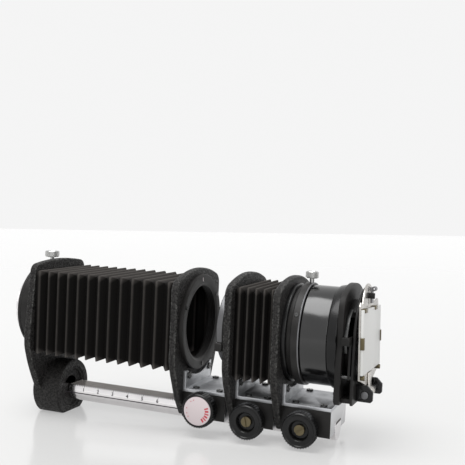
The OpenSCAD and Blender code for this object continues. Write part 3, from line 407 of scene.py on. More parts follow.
def piece(name, mesh, body, slot, replaced=(), look=None):
    """A finished piece that rides on a body."""
    mesh.materials.clear()
    mesh.materials.append(look or looks[slot])
    obj = bpy.data.objects.new(name, mesh)
    bpy.context.scene.collection.objects.link(obj)
    if body:
        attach(obj, body)
    if replaced:
        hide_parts(*replaced)
    return obj


def dress(node, look):
    """A CAD node keeps its shape and gets its finish."""
    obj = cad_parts[node]
    for slot in obj.material_slots:
        slot.material = look


def merged(meshes, name):
    """Several meshes as one, which each keep the way that their faces look."""
    bm = bmesh.new()
    for mesh in meshes:
        bm.from_mesh(mesh)
        bpy.data.meshes.remove(mesh)
    return finished(bm, name, normals=False)


def placed(mesh, matrix):
    """A mesh moved by a matrix in millimetres."""
    scaled = Matrix.Scale(MM, 4) @ matrix @ Matrix.Scale(1 / MM, 4)
    mesh.transform(scaled)
    return mesh


def soften(node, width, segments=2):
    """The solid of a CAD node as a mesh with rounded edges."""
    bm = bmesh.new()
    bm.from_mesh(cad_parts[node].data)
    bmesh.ops.remove_doubles(bm, verts=bm.verts, dist=1e-6)
    bmesh.ops.dissolve_limit(bm, angle_limit=math.radians(0.6), verts=bm.verts, edges=bm.edges)
    limit = math.radians(BEVEL_ANGLE)
    edges = [e for e in bm.edges if len(e.link_faces) == 2 and e.calc_face_angle(0) > limit]
    bmesh.ops.bevel(bm, geom=edges, offset=width * MM, segments=segments, profile=0.5, affect="EDGES",
                    clamp_overlap=True)
    bmesh.ops.dissolve_degenerate(bm, dist=2e-6, edges=bm.edges)
    return finished(bm, node + " dressed")


def eased(points, r, steps=3):
    """A closed outline with its corners rounded, but for those on the axis."""
    out = []
    for i, here in enumerate(points):
        here = Vector(here)
        if here.y == 0:
            out.append(here)
            continue
        back = Vector(points[i - 1]) - here
        on = Vector(points[(i + 1) % len(points)]) - here
        cut = min(r, 0.45 * back.length, 0.45 * on.length)
        start, end = here + back.normalized() * cut, here + on.normalized() * cut
        for k in range(steps + 1):
            u = k / steps
            out.append(start * (1 - u) ** 2 + here * (2 * u * (1 - u)) + end * u ** 2)
    return out


def lathe(profile, at, axis="X", steps=96, round_by=0.0):
    """A closed outline of (along, radius) points turned about an axis through a place."""
    if round_by:
        profile = eased(profile, round_by)
    x, y, z = at
    bm = bmesh.new()
    rings = []
    for k in range(steps):
        c, s = math.cos(TAU * k / steps), math.sin(TAU * k / steps)
        ring = []
        for along, r in profile:
            spot = {"X": (x + along, y + r * c, z + r * s), "Y": (x + r * c, y + along, z + r * s),
                    "Z": (x + r * c, y + r * s, z + along)}[axis]
            ring.append(bm.verts.new(Vector(spot) * MM))
        rings.append(ring)
    count = len(profile)
    for k in range(steps):
        one, two = rings[k], rings[(k + 1) % steps]
        for i in range(count):
            j = (i + 1) % count
            if profile[i][1] == 0 and profile[j][1] == 0:
                continue
            bm.faces.new((one[i], one[j], two[j], two[i]))
    bmesh.ops.remove_doubles(bm, verts=bm.verts, dist=1e-7)
    return finished(bm, "turned")


def arc(cy, cz, r, start, end, steps):
    """Points of an arc, angles in degrees."""
    turns = [math.radians(start + (end - start) * k / steps) for k in range(steps + 1)]
    return [(cy + r * math.cos(t), cz + r * math.sin(t)) for t in turns]


def area(loop):
    """The area of a closed loop, below zero where it runs clockwise."""
    return sum(a[0] * b[1] - b[0] * a[1] for a, b in zip(loop, loop[1:] + loop[:1])) / 2


def inset(loop, d):
    """A closed loop moved to its left."""
    out = []
    n = len(loop)
    for i, p in enumerate(loop):
        a, b = Vector(loop[i - 1]), Vector(loop[(i + 1) % n])
        p = Vector(p)
        one, two = (p - a).normalized(), (b - p).normalized()
        n1, n2 = Vector((-one.y, one.x)), Vector((-two.y, two.x))
        middle = n1 + n2
        if middle.length < 1e-6:
            middle = n1
        middle.normalize()
        out.append(tuple(p + middle * (d / max(0.4, middle.dot(n1)))))
    return out


def plate(rim, holes, x, thick, edge, steps=3):
    """A flat plate across X with rounded edges, from its (y, z) rim and holes."""
    loops = [rim if area(rim) > 0 else rim[::-1]] + [h if area(h) < 0 else h[::-1] for h in holes]
    rows = []
    for k in range(steps + 1):
        t = math.pi / 2 * k / steps
        rows.append((edge * (1 - math.sin(t)), edge * (1 - math.cos(t)), math.sin(2 * t) ** 2))
    rows += [(off, thick - h, rub_and_sheen) for off, h, rub_and_sheen in reversed(rows)]
    bm = bmesh.new()
    # the edge value peaks on the rounded edges; the wrinkle paint turns it into wear and a painted sheen
    layer = bm.verts.layers.float.new("edge")
    ends = ([], [])
    for loop in loops:
        share = 1 if loop is loops[0] else HOLE_SHARE
        rings = []
        for off, h, rub_and_sheen in rows:
            ring = [bm.verts.new(((x + h) * MM, y * MM, z * MM)) for y, z in inset(loop, off * share)]
            for v in ring:
                v[layer] = rub_and_sheen
            rings.append(ring)
        n = len(loop)
        for one, two in zip(rings, rings[1:]):
            for i in range(n):
                bm.faces.new((one[i], one[(i + 1) % n], two[(i + 1) % n], two[i]))
        for side, ring in zip(ends, (rings[0], rings[-1])):
            side.extend(bm.edges.get((ring[i], ring[(i + 1) % n])) for i in range(n))
    for side in ends:
        bmesh.ops.triangle_fill(bm, use_beauty=True, use_dissolve=False, edges=side)
    return finished(bm, "plate")


def smooth_chain(points, cuts=3):
    """An open chain of points with a smooth curve through them."""
    p = [Vector(q) for q in points]
    p = [p[0] * 2 - p[1]] + p + [p[-1] * 2 - p[-2]]
    out = []
    for i in range(1, len(p) - 2):
        a, b, c, d = p[i - 1:i + 3]
        for k in range(cuts):
            t = k / cuts
            out.append(tuple(0.5 * (b * 2 + (c - a) * t + (a * 2 - b * 5 + c * 4 - d) * t * t
                                    + (b * 3 - a - c * 3 + d) * t ** 3)))
    out.append(tuple(p[-2]))
    return out


# ---------------------------------------------------------------- repeating by geometry nodes

def repeat_tree(name, points, merge=False):
    """A node tree that puts a template on points and ends in plain geometry with its material."""
    tree = bpy.data.node_groups.new(name, "GeometryNodeTree")
    tree.is_modifier = True
    sockets = (("Geometry", "Geometry"), ("Template", "Object"), ("Count", "Int"), ("Radius", "Float"),
               ("Step", "Vector"), ("Material", "Material"))
    for label, kind in sockets:
        tree.interface.new_socket(label, in_out="INPUT", socket_type="NodeSocket" + kind)
    tree.interface.new_socket("Geometry", in_out="OUTPUT", socket_type="NodeSocketGeometry")
    given = tree.nodes.new("NodeGroupInput")

    def node(kind, settings=None, **links):
        made = tree.nodes.new(kind)
        for key, value in (settings or {}).items():
            setattr(made, key, value)
        for key, value in links.items():
            socket = made.inputs[key.replace("_", " ")]
            if isinstance(value, bpy.types.NodeSocket):
                tree.links.new(value, socket)
            else:
                socket.default_value = value
        return made.outputs

    shape = node("GeometryNodeObjectInfo", Object=given.outputs["Template"])["Geometry"]
    if points == "ring":
        ring = node("GeometryNodeMeshCircle", Vertices=given.outputs["Count"],
                    Radius=given.outputs["Radius"])["Mesh"]
        place = node("GeometryNodeInputPosition")["Position"]
        turn = node("FunctionNodeAlignRotationToVector", {"axis": "X"}, Vector=place)["Rotation"]
        spread = node("GeometryNodeInstanceOnPoints", Points=ring, Instance=shape,
                      Rotation=turn)["Instances"]
    elif points == "row":
        row = node("GeometryNodeMeshLine", {"mode": "OFFSET"}, Count=given.outputs["Count"],
                   Offset=given.outputs["Step"])["Mesh"]
        spread = node("GeometryNodeInstanceOnPoints", Points=row, Instance=shape)["Instances"]
    else:
        aim = node("GeometryNodeInputNamedAttribute", {"data_type": "FLOAT_VECTOR"}, Name="aim")["Attribute"]
        turn = node("FunctionNodeAlignRotationToVector", {"axis": "X"}, Vector=aim)["Rotation"]
        spread = node("GeometryNodeInstanceOnPoints", Points=given.outputs["Geometry"], Instance=shape,
                      Rotation=turn)["Instances"]
    shown = node("GeometryNodeRealizeInstances", Geometry=spread)["Geometry"]
    if merge:
        shown = node("GeometryNodeMergeByDistance", Geometry=shown, Distance=1e-5)["Geometry"]
    shown = node("GeometryNodeSetMaterial", Geometry=shown,
                 Material=given.outputs["Material"])["Geometry"]
    result = tree.nodes.new("NodeGroupOutput")
    tree.links.new(shown, result.inputs["Geometry"])
    return tree


trees = {}


def make_trees():
    """One tree for each way in which small pieces repeat."""
    trees["ring"] = repeat_tree("repeat round an axis", "ring")
    trees["row"] = repeat_tree("repeat along the rail", "row", merge=True)
    trees["spots"] = repeat_tree("repeat on places", "spots")


def repeat(way, template, look, count=1, radius=0.0, step=(0, 0, 0), spots=()):
    """The plain mesh of a template repeated by one of the trees. Sizes in millimetres."""
    scene = bpy.context.scene
    carrier_mesh = bpy.data.meshes.new("places")
    if spots:
        carrier_mesh.from_pydata([Vector(at) * MM for at, _ in spots], [], [])
        aims = carrier_mesh.attributes.new("aim", "FLOAT_VECTOR", "POINT")
        for item, (_, aim) in zip(aims.data, spots):
            item.vector = aim
    carrier = bpy.data.objects.new("carrier", carrier_mesh)
    model = bpy.data.objects.new("template", template)
    scene.collection.objects.link(carrier)
    scene.collection.objects.link(model)
    tree = trees[way]
    modifier = carrier.modifiers.new("repeat", "NODES")
    modifier.node_group = tree
    values = {"Template": model, "Count": count, "Radius": radius * MM, "Step": [v * MM for v in step],
              "Material": look}
    for item in tree.interface.items_tree:
        if item.in_out == "INPUT" and item.name in values:
            modifier[item.identifier] = values[item.name]
    shown = carrier.evaluated_get(bpy.context.evaluated_depsgraph_get())
    mesh = bpy.data.meshes.new_from_object(shown)
    bpy.data.objects.remove(carrier)
    bpy.data.objects.remove(model)
    bpy.data.meshes.remove(template)
    return mesh


# ---------------------------------------------------------------- small shared shapes

def slotted_head(r, h, slot=0.5, sides=20):
    """A low screw head towards +X with a slot across it."""
    circle = arc(0, 0, r, 0, 360 - 360 / sides, sides - 1)
    base = plate(circle, [], 0, h * 0.6, 0.08, steps=1)
    half = math.degrees(math.asin(slot / 2 / r))
    lids = []
    for turn in (0, 180):
        lid = arc(0, 0, r, turn + half, turn + 180 - half, sides // 2)
        lids.append(plate(lid, [], h * 0.45, h * 0.55, 0.08, steps=1))
    return merged([base, *lids], "screw head")


def ridge(length, width, height):
    """A rounded ridge along +Z at the origin that stands out towards +X."""
    outline = [(-height, -width / 2), (-height * 0.1, -width / 2), (height * 0.8, -width / 5),
               (height * 0.8, width / 5), (-height * 0.1, width / 2), (-height, width / 2)]
    bm = bmesh.new()
    rings = [[bm.verts.new((x * MM, y * MM, z * MM)) for x, y in outline] for z in (0, length)]
    n = len(outline)
    for i in range(n):
        bm.faces.new((rings[0][i], rings[0][(i + 1) % n], rings[1][(i + 1) % n], rings[1][i]))
    for ring in rings:
        bm.faces.new(ring)
    return finished(bm, "ridge")


def toward(axis, at):
    """Turns +Z to an axis and moves to a place."""
    turn = Vector((0, 0, 1)).rotation_difference(Vector(axis)).to_matrix().to_4x4()
    return Matrix.Translation(at) @ turn


def ridges_round(axis, at, r, length, count, width, height, look):
    """Ridges round a knob or a screw head."""
    ring = repeat("ring", ridge(length, width, height), look, count, r - height)
    return placed(ring, toward(axis, at))


def screws(name, body, node, r, h, spots, slot=0.5):
    """Screw heads on their places, for one body."""
    mesh = repeat("spots", slotted_head(r, h, slot), looks["dark_screw"], spots=spots)
    return piece(name, mesh, body, "screw_steel", (node,), looks["dark_screw"])


# ---------------------------------------------------------------- standards

def arched_half(hw, top, arch_r, corner_r):
    """Right half of an arched top, from its peak to the side."""
    cy = hw - corner_r
    az = top - arch_r
    cz = az + math.sqrt((arch_r - corner_r) ** 2 - cy ** 2)
    a = math.degrees(math.atan2(cz - az, cy))
    return arc(0, az, arch_r, 90, a, 10) + arc(cy, cz, corner_r, a, 0, 8)[1:]


def whole_chain(top, leg):
    """Both halves of a standard's side, from foot over the top to foot, about the light axis."""
    side = top + smooth_chain([top[-1]] + leg, 4)[1:]
    return [(y, z + AXIS_Z) for y, z in [(-y, z) for y, z in reversed(side[1:])] + side]


def circle(cy, cz, r, steps=72):
    """A closed circle of points."""
    return arc(cy, cz, r, 0, 360 - 360 / steps, steps - 1)


def front_rim():
    """The rim of the lens, front and stage standards, with the arch in the foot that clears the rail."""
    chain = whole_chain(arched_half(30.5, 31, 75, 7) + [(30.5, 4), (30.5, -12)],
                        [(30.4, -18.4), (28.55, -25.15), (25.6, -31.9), (21.05, -41.4), (14.5, -STD_FOOT)])
    low = AXIS_Z - STD_FOOT
    notch = [(-NOTCH_R, low)] + arc(0, ROD_Z, NOTCH_R, 180, 0, 14) + [(NOTCH_R, low)]
    return chain + list(reversed(notch))


def rear_rim():
    """The rim of the rear standard, which runs into the round boss of its foot."""
    chain = whole_chain(arched_half(26.8, 30, 140, 5),
                        [(28.2, 8), (30.6, -16), (28.2, -27), (24.4, -36.1), (20.4, -43.8), (BOSS_R, -49.4)])
    boss = arc(0, ROD_Z, BOSS_R, -4, -52, 8)
    return chain + boss + [(-y, z) for y, z in reversed(boss)]


def cut_flat(mesh, z):
    """Cuts a closed mesh off below a height and closes it."""
    bm = bmesh.new()
    bm.from_mesh(mesh)
    bpy.data.meshes.remove(mesh)
    cut = bmesh.ops.bisect_plane(bm, geom=bm.verts[:] + bm.edges[:] + bm.faces[:],
                                 plane_co=(0, 0, z * MM), plane_no=(0, 0, -1), clear_outer=True)
    rim = [e for e in cut["geom_cut"] if isinstance(e, bmesh.types.BMEdge)]
    bmesh.ops.triangle_fill(bm, use_beauty=True, use_dissolve=False, edges=rim)
    return finished(bm, "cut")


def build_standards(s):
    """The four castings, with their rounded edges and the boss round the rail."""
    for name, x, body in (("lens_standard", LENS_X, "lens_carriage"),
                          ("front_standard", FRONT_X, "front_carriage"),
                          ("stage_standard", STAGE_X, "stage_carriage")):
        mesh = plate(front_rim(), [circle(0, AXIS_Z, BORE_R)], x, STD_T, s.edge_round / MM, steps=4)
        piece(name + "_cast", mesh, body, "wrinkle_black", (name,))
    back = plate(rear_rim(), [circle(0, AXIS_Z, BORE_R)], REAR_X, REAR_T, s.edge_round / MM * 0.7, steps=4)
    boss = [(-BOSS_HALF, 0), (-BOSS_HALF, 16.2), (-8.1, BOSS_R), (8.1, BOSS_R), (8.8, 16.8),
            (BOSS_HALF, 16.2), (BOSS_HALF, 13.0), (8.2, 12.6), (8.2, 11.3), (7.0, BOSS_RECESS_R), (7.0, 0)]
    turned = lathe(boss, (0, 0, ROD_Z), "X", 96, 0.25)
    mesh = merged([back, cut_flat(turned, 0)], "rear cast")
    piece("rear_standard_cast", mesh, "rail", "wrinkle_black", ("rear_standard",))
    dress("rail_grub_screw", looks["screw_steel"])


# ---------------------------------------------------------------- bellows

def fold_ring(hw, hh, cut_y, cut_z):
    """The eight corners of a bellows outline, its corners cut along the top and along the side."""
    return [(hw - cut_y, hh), (hw, hh - cut_z), (hw, cut_z - hh), (hw - cut_y, -hh),
            (cut_y - hw, -hh), (-hw, cut_z - hh), (-hw, hh - cut_z), (cut_y - hw, hh)]


def skin_mesh(rows, size, wall, ends=(False, False)):
    """A stretch of bellows over rows of (x, fold), closed at the ends asked for."""
    hw, hh, depth, depth_h, ridge_cut = size
    bm = bmesh.new()
    fold = bm.verts.layers.float.new("fold")
    corner = bm.verts.layers.float.new("corner")
    skins = []
    for inside in (0, wall):
        skin = []
        for x, k in rows:
            outline = fold_ring(hw - depth * k - inside, hh - depth_h * k - inside,
                                SIDE_CUT + SIDE_CUT * k, ridge_cut + (VALLEY_CUT - ridge_cut) * k)
            ring = []
            for i, (y, z) in enumerate(outline):
                v = bm.verts.new((x * MM, y * MM, (z + AXIS_Z) * MM))
                v[fold] = k
                # painted light mask: the top and bottom corners of each ridge
                v[corner] = 1.0 if i % 4 in (0, 3) and k < 0.5 else 0.0
                ring.append(v)
            skin.append(ring)
        skins.append(skin)
    for turn, skin in zip((1, -1), skins):
        for one, two in zip(skin, skin[1:]):
            for i in range(8):
                j = (i + 1) % 8
                quad = (one[i], one[j], two[j], two[i])
                bm.faces.new(quad[::turn])
    for wanted, at, turn in ((ends[0], 0, -1), (ends[1], -1, 1)):
        if wanted:
            for i in range(8):
                j = (i + 1) % 8
                quad = (skins[0][at][i], skins[0][at][j], skins[1][at][j], skins[1][at][i])
                bm.faces.new(quad[::turn])
    mesh = bpy.data.meshes.new("skin")
    bm.to_mesh(mesh)
    bm.free()
    return mesh


def bellows(s, x0, x1, count, part_pleats, size, crowd=0.0):
    """Pleats in a row between two standards, with a part pleat at either end."""
    head, tail = part_pleats
    first, last = x0 + head, x1 - tail
    span = last - first
    step = span / (count - 1)
    flat = s.fold_round / MM
    wall = s.skin_wall / MM
    rows = [(0, 0.0), (flat, 0.0), (step / 2 - flat, 1.0), (step / 2 + flat, 1.0),
            (step - flat, 0.0), (step, 0.0)]
    row = repeat("row", skin_mesh(rows, size, wall), looks["bellows_skin"], count - 1,
                 step=(step, 0, 0))
    for v in row.vertices:
        u = v.co.x / MM / span
        v.co.x = (first + span * (u + crowd * u * (u - 1))) * MM
    bm = bmesh.new()
    bm.from_mesh(row)
    bpy.data.meshes.remove(row)
    at_head, at_tail = (min(HALF_FOLD, part / step * 2) for part in (head, tail))
    parts = [(((x0, at_head), (first - flat, 0.0), (first, 0.0)), (True, False)),
             (((last, 0.0), (last + flat, 0.0), (x1, at_tail)), (False, True))]
    for part, ends in parts:
        mesh = skin_mesh(part, size, wall, ends)
        bm.from_mesh(mesh)
        bpy.data.meshes.remove(mesh)
    bmesh.ops.remove_doubles(bm, verts=bm.verts, dist=2e-6)
    return finished(bm, "bellows", 24)


def build_bellows(s):
    """Both bellows, each stretched between the bodies that it joins."""
    start = REAR_X + REAR_T
    mesh = bellows(s, start, LENS_X, LONG_PLEATS, LONG_ENDS, LONG_SKIN, LONG_CROWD)
    long = piece("long_bellows_skin", mesh, None, "bellows_skin", ("long_bellows",))
    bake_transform(long)
    start = FRONT_X + STD_T
    mesh = bellows(s, start, STAGE_X, SHORT_PLEATS, SHORT_ENDS, SHORT_SKIN)
    short = piece("short_bellows_skin", mesh, None, "bellows_skin", ("short_bellows",))
    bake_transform(short)


# ---------------------------------------------------------------- camera mount and lock screws

def lock_screw(name, body, sizes, s):
    """A knurled head with a dished top on a stem, for the node of the same name."""
    x, low, tip, head_r = sizes
    stem_r, high, dish = 1.25, low + 3.7, low + 3.2
    outline = [(tip, 0), (tip, stem_r), (low, stem_r), (low, head_r - 0.7), (low + 0.3, head_r - 0.36),
               (low + 3.4, head_r - 0.36), (high, head_r - 0.6), (high, head_r - 1.4),
               (dish, head_r - 1.8), (dish, 0)]
    turned = lathe(outline, (x, 0, AXIS_Z), "Z", 48)
    teeth = ridges_round((0, 0, 1), (x, 0, AXIS_Z + low + 0.35), head_r, 3.0, s.lock_ridges, 0.5, 0.3,
                         looks["knurled_steel"])
    piece(name + "_knurled", merged([turned, teeth], name + "_knurled"), body, "knurled_steel",
          (name + "_screw",))


def build_camera_mount(s):
    """The collar behind the rear standard, the threaded ring that turns in it, and its lock screw."""
    collar = [(-14.7, 24.1), (-14.7, 26.4), (-14.1, COLLAR_R), (-12.9, COLLAR_R), (-12.6, 26.6),
              (-12.2, 26.6), (-11.9, COLLAR_R), (REAR_X, COLLAR_R), (REAR_X, 24.1)]
    piece("rear_collar_turned", lathe(collar, (0, 0, AXIS_Z), round_by=0.25), "rail", "satin_black",
          ("rear_collar",), looks["collar_black"])
    thread_x, root_r, bore_r = -20.1, 20.6, 19
    thread = [(thread_x + THREAD_PITCH * k, THREAD_R if k % 2 else root_r) for k in range(1, 9)]
    ring = [(-7.0, bore_r), (thread_x, bore_r), (thread_x, root_r), *thread,
            (-15.8, THREAD_R), (-15.8, 25.3), (-15.5, 25.6), (-14.8, 25.6), (-14.8, 24), (-7.0, 24)]
    piece("camera_ring_turned", lathe(ring, (0, 0, AXIS_Z)), "camera_ring", "polished_rod",
          ("camera_ring",))
    lock_screw("rear_lock", "rear_lock", REAR_LOCK, s)


# ---------------------------------------------------------------- rail

def wrapped_marks(text, x, angle, size):
    """A numeral laid on the rail's round side, its middle at an angle above the near side."""
    curve = bpy.data.curves.new("numeral", "FONT")
    curve.body = text
    curve.size = size * MM
    curve.extrude = 0.04 * MM
    curve.offset = 0.07 * MM
    curve.align_x = "CENTER"
    curve.align_y = "CENTER"
    curve.resolution_u = 3
    obj = bpy.data.objects.new("numeral", curve)
    bpy.context.scene.collection.objects.link(obj)
    mesh = bpy.data.meshes.new_from_object(obj.evaluated_get(bpy.context.evaluated_depsgraph_get()))
    bpy.data.objects.remove(obj)
    bm = bmesh.new()
    bm.from_mesh(mesh)
    bpy.data.meshes.remove(mesh)
    bmesh.ops.remove_doubles(bm, verts=bm.verts, dist=1e-7)
    for k in range(-3, 4):
        bmesh.ops.bisect_plane(bm, geom=bm.verts[:] + bm.edges[:] + bm.faces[:],
                               plane_co=(0, k * 0.4 * MM, 0), plane_no=(0, 1, 0))
    for v in bm.verts:
        r = ROD_R * MM + v.co.z
        a = math.radians(angle) + v.co.y / (ROD_R * MM)
        v.co = Vector((x * MM + v.co.x, -r * math.cos(a), ROD_Z * MM + r * math.sin(a)))
    out = bpy.data.meshes.new("numeral")
    bm.to_mesh(out)
    bm.free()
    return out


def arc_strip(x0, x1, low, high, proud, sink, steps):
    """A thin strip on the rail's round side between two angles."""
    bm = bmesh.new()
    rings = []
    for x in (x0, x1):
        for r in (ROD_R + proud, ROD_R - sink):
            ring = []
            for k in range(steps + 1):
                a = math.radians(low + (high - low) * k / steps)
                spot = (x * MM, -r * math.cos(a) * MM, (ROD_Z + r * math.sin(a)) * MM)
                ring.append(bm.verts.new(spot))
            rings.append(ring)
    order = (rings[0], rings[1], rings[3], rings[2])
    for one, two in zip(order, order[1:] + order[:1]):
        for k in range(steps):
            bm.faces.new((one[k], one[k + 1], two[k + 1], two[k]))
    for k in (0, steps):
        bm.faces.new([ring[k] for ring in order])
    return finished(bm, "strip")


def build_rail(s):
    """The plated rail with its ticks, numerals and base line."""
    dress("rail_rod", looks["polished_rod"])
    look = looks["mark_black"]
    ticks = repeat("row", arc_strip(-0.14, 0.14, TICK_LOW, TICK_HIGH, 0.03, 0.05, 3), look, MARK_COUNT,
                   step=(MARK_PITCH, 0, 0))
    ticks.transform(Matrix.Translation((MARK_X * MM, 0, 0)))
    numerals = [wrapped_marks(str(k + 1), MARK_X + MARK_PITCH * k + NUMERAL_SHIFT, NUMERAL_ANGLE,
                              s.numeral_height / MM) for k in range(MARK_COUNT)]
    piece("rail_scale", merged([ticks, *numerals], "rail scale"), "rail", "polished_rod", look=look)
    # painted reflection: a black strip where the plating shows a dark reflected line
    line = arc_strip(LINE_X0, LINE_X1, LINE_LOW, LINE_HIGH, 0.02, 0.05, 1)
    piece("rail_base_line", line, "rail", "polished_rod", look=look)


# ---------------------------------------------------------------- lens ring and adapter

def build_lens_ring(s):
    """The threaded ring on the lens standard, its worn lip, its three screws and its index mark."""
    x = LENS_X + STD_T
    ring = [(x - 3.4, 21.3), (x - 3.4, 23.4), (x - 0.3, 23.4), (x - 0.3, 23.7), (x, 27.2),
            (x + 0.3, 27.5), (x + 1.9, 27.5), (x + 2.4, 27.0), (x + 2.4, 22.6), (x + 1.9, 21.6),
            (x + 1.9, THREAD_R)]
    thread = [(x + 1.5 - THREAD_PITCH * k, THREAD_R if k % 2 else 21.35) for k in range(9)]
    piece("lens_ring_turned", lathe(ring + thread, (0, 0, AXIS_Z)), "lens_carriage", "satin_black",
          ("lens_ring",))
    lip = [(x + 2.36, 22.65), (x + 1.88, 21.62), (x + 1.75, 21.62), (x + 1.75, 21.5), (x + 1.95, 21.45),
           (x + 2.46, 22.6)]
    piece("lens_ring_worn_lip", lathe(lip, (0, 0, AXIS_Z)), "lens_carriage", "satin_black",
          look=looks["collar_black"])

    def on_ring(angle):
        a = math.radians(angle)
        return RING_SCREW_AT * math.cos(a), AXIS_Z + RING_SCREW_AT * math.sin(a)

    spots = [((x + 2.35, *on_ring(angle)), (1, 0, 0)) for angle in RING_SCREW_ANGLES]
    screws("lens_ring_screw_heads", "lens_carriage", "lens_ring_screws", 1.1, 0.55, spots, 0.4)
    mark = plate([(-0.35, -1.1), (0.35, -1.1), (0.35, 1.1), (-0.35, 1.1)], [], x + 2.37, 0.08, 0.02, steps=1)
    placed(mark, Matrix.Translation((0, *on_ring(INDEX_ANGLE))))
    piece("lens_ring_index", mark, "lens_carriage", "white_disc")


def build_adapter(s):
    """The adapter before the front standard: base, tube and catch."""
    x, tube_r, bore_r = FRONT_X, 22, 19.5
    base = [(x - 2, bore_r), (x - 2, 26.6), (x - 1.6, COLLAR_R), (x, COLLAR_R), (x, bore_r)]
    piece("adapter_base_turned", lathe(base, (0, 0, AXIS_Z), round_by=0.2), "front_carriage",
          "satin_black", ("adapter_base",))
    tube = [(x - 7.1, 20.6), (x - 7.1, 21.6), (x - 6.7, tube_r), (x - 2, tube_r), (x - 2, bore_r),
            (x - 5.2, bore_r)]
    piece("adapter_tube_turned", lathe(tube, (0, 0, AXIS_Z), round_by=0.12), "front_carriage",
          "gloss_black", ("adapter_tube",), looks["adapter_tube"])
    piece("adapter_catch_rounded", soften("adapter_catch", 0.5), "front_carriage", "grey_metal",
          ("adapter_catch",), looks["collar_black"])


# ---------------------------------------------------------------- brackets and blocks

def bare_ends(mesh):
    """Marks the faces across the rail as bare metal."""
    bare = mesh.attributes.new("bare", "FLOAT", "FACE")
    for item, face in zip(bare.data, mesh.polygons):
        item.value = 1.0 if abs(face.normal.x) > 0.5 else 0.0
    return mesh


def build_brackets(s):
    """The bracket and the block of each carriage, and the bracket's six screws."""
    for kind, x, length, body in (("lens", LENS_X + STD_T, LENS_BLOCK_L, "lens_carriage"),
                                  ("front", FRONT_X + STD_T, FRONT_BLOCK_L, "front_carriage"),
                                  ("stage", STAGE_X + STD_T, STAGE_BLOCK_L, "stage_carriage")):
        piece(kind + "_bracket_bent", soften(kind + "_bracket", 0.35), body, "bracket_sheet",
              (kind + "_bracket",))
        piece(kind + "_block_milled", bare_ends(soften(kind + "_block", 0.4)), body, "satin_black",
              (kind + "_block",), looks["block_black"])
        spots = []
        for y in (-SCREW_Y, SCREW_Y):
            spots += [((x + SCREW_FROM_BACK, y, BLOCK_TOP + SHEET_T - HEAD_SINK), (0, 0, 1)),
                      ((x + length - SCREW_FROM_END, y, BLOCK_TOP + SHEET_T - HEAD_SINK), (0, 0, 1)),
                      ((x + SHEET_T - HEAD_SINK, y, WALL_SCREW_Z), (1, 0, 0))]
        screws(kind + "_bracket_screw_heads", body, kind + "_bracket_screws", 1.9, 0.9, spots)


# ---------------------------------------------------------------- knobs

def knob(s, x, z, hollow):
    """A ridged knob with its axis along Y and its face towards the near side."""
    face, back, hub = KNOB_FRONT, KNOB_BACK, KNOB_HUB
    inner = KNOB_R - 0.5
    if hollow:
        front = [(face + 3.0, 0), (face + 3.0, 4.5), (face + 0.9, 4.9), (face + 0.2, 5.5), (face + 0.35, 5.9),
                 (face + 0.35, inner - 1.3), (face, inner - 0.9), (face, inner - 0.4)]
    else:
        front = [(face + 0.42, 0), (face + 0.42, 7.85), (face + 0.1, 7.9), (face, 8.1), (face, inner - 0.4)]
    outline = front + [(face + 0.45, inner), (back - 0.5, inner), (back, inner - 0.5), (back, HUB_R),
                       (hub, HUB_R), (hub, 0)]
    body = lathe(outline, (x, 0, z), "Y", 96)
    teeth = ridges_round((0, 1, 0), (x, face + 0.55, z), KNOB_R, -face + back - 1.1, s.knob_ridges,
                         0.72, 0.5, looks["gloss_black"])
    return merged([body, teeth], "knob")


def build_drive(s):
    """The drive knob, its white face with plain red bars and spots, and the shaft behind it."""
    x, z, face = DRIVE_X, DRIVE_Z, KNOB_FRONT
    piece("drive_knob_ridged", knob(s, x, z, False), "drive", "gloss_black", ("drive_knob",))
    disc = [(face + 0.42, 0), (face + 0.42, DISC_R), (face + 0.1, DISC_R), (face, DISC_R - 0.2), (face, 0)]
    piece("drive_knob_face", lathe(disc, (x, 0, z), "Y", 96), "drive", "white_disc", ("drive_knob_disc",))

    def on_face(radius, a):
        at = (x + radius * math.cos(a), face, z + radius * math.sin(a))
        return Matrix.Translation(at) @ Matrix.Rotation(-math.pi / 2, 4, "Z")

    marks = []
    for k in range(6):
        a = math.radians(20 - 15 * k)
        wide, long = (0.5, 1.05) if k % 2 else (0.36, 1.2)
        bar = plate([(-wide, -long), (wide, -long), (wide, long), (-wide, long)], [], 0, 0.05, 0.01, steps=1)
        marks.append(placed(bar, on_face(BAR_AT, a) @ Matrix.Rotation(a - math.pi / 2, 4, "X")))
    for angle in SPOT_ANGLES:
        spot = plate(circle(0, 0, 0.3, 10), [], 0, 0.05, 0.01, steps=1)
        marks.append(placed(spot, on_face(SPOT_AT, math.radians(angle))))
    piece("drive_knob_marks", merged(marks, "marks"), "drive", "white_disc", look=looks["mark_red"])
    dress("pinion", looks["brass"])
    for node in ("pinion_shaft", "shaft_collar"):
        dress(node, looks["screw_steel"])


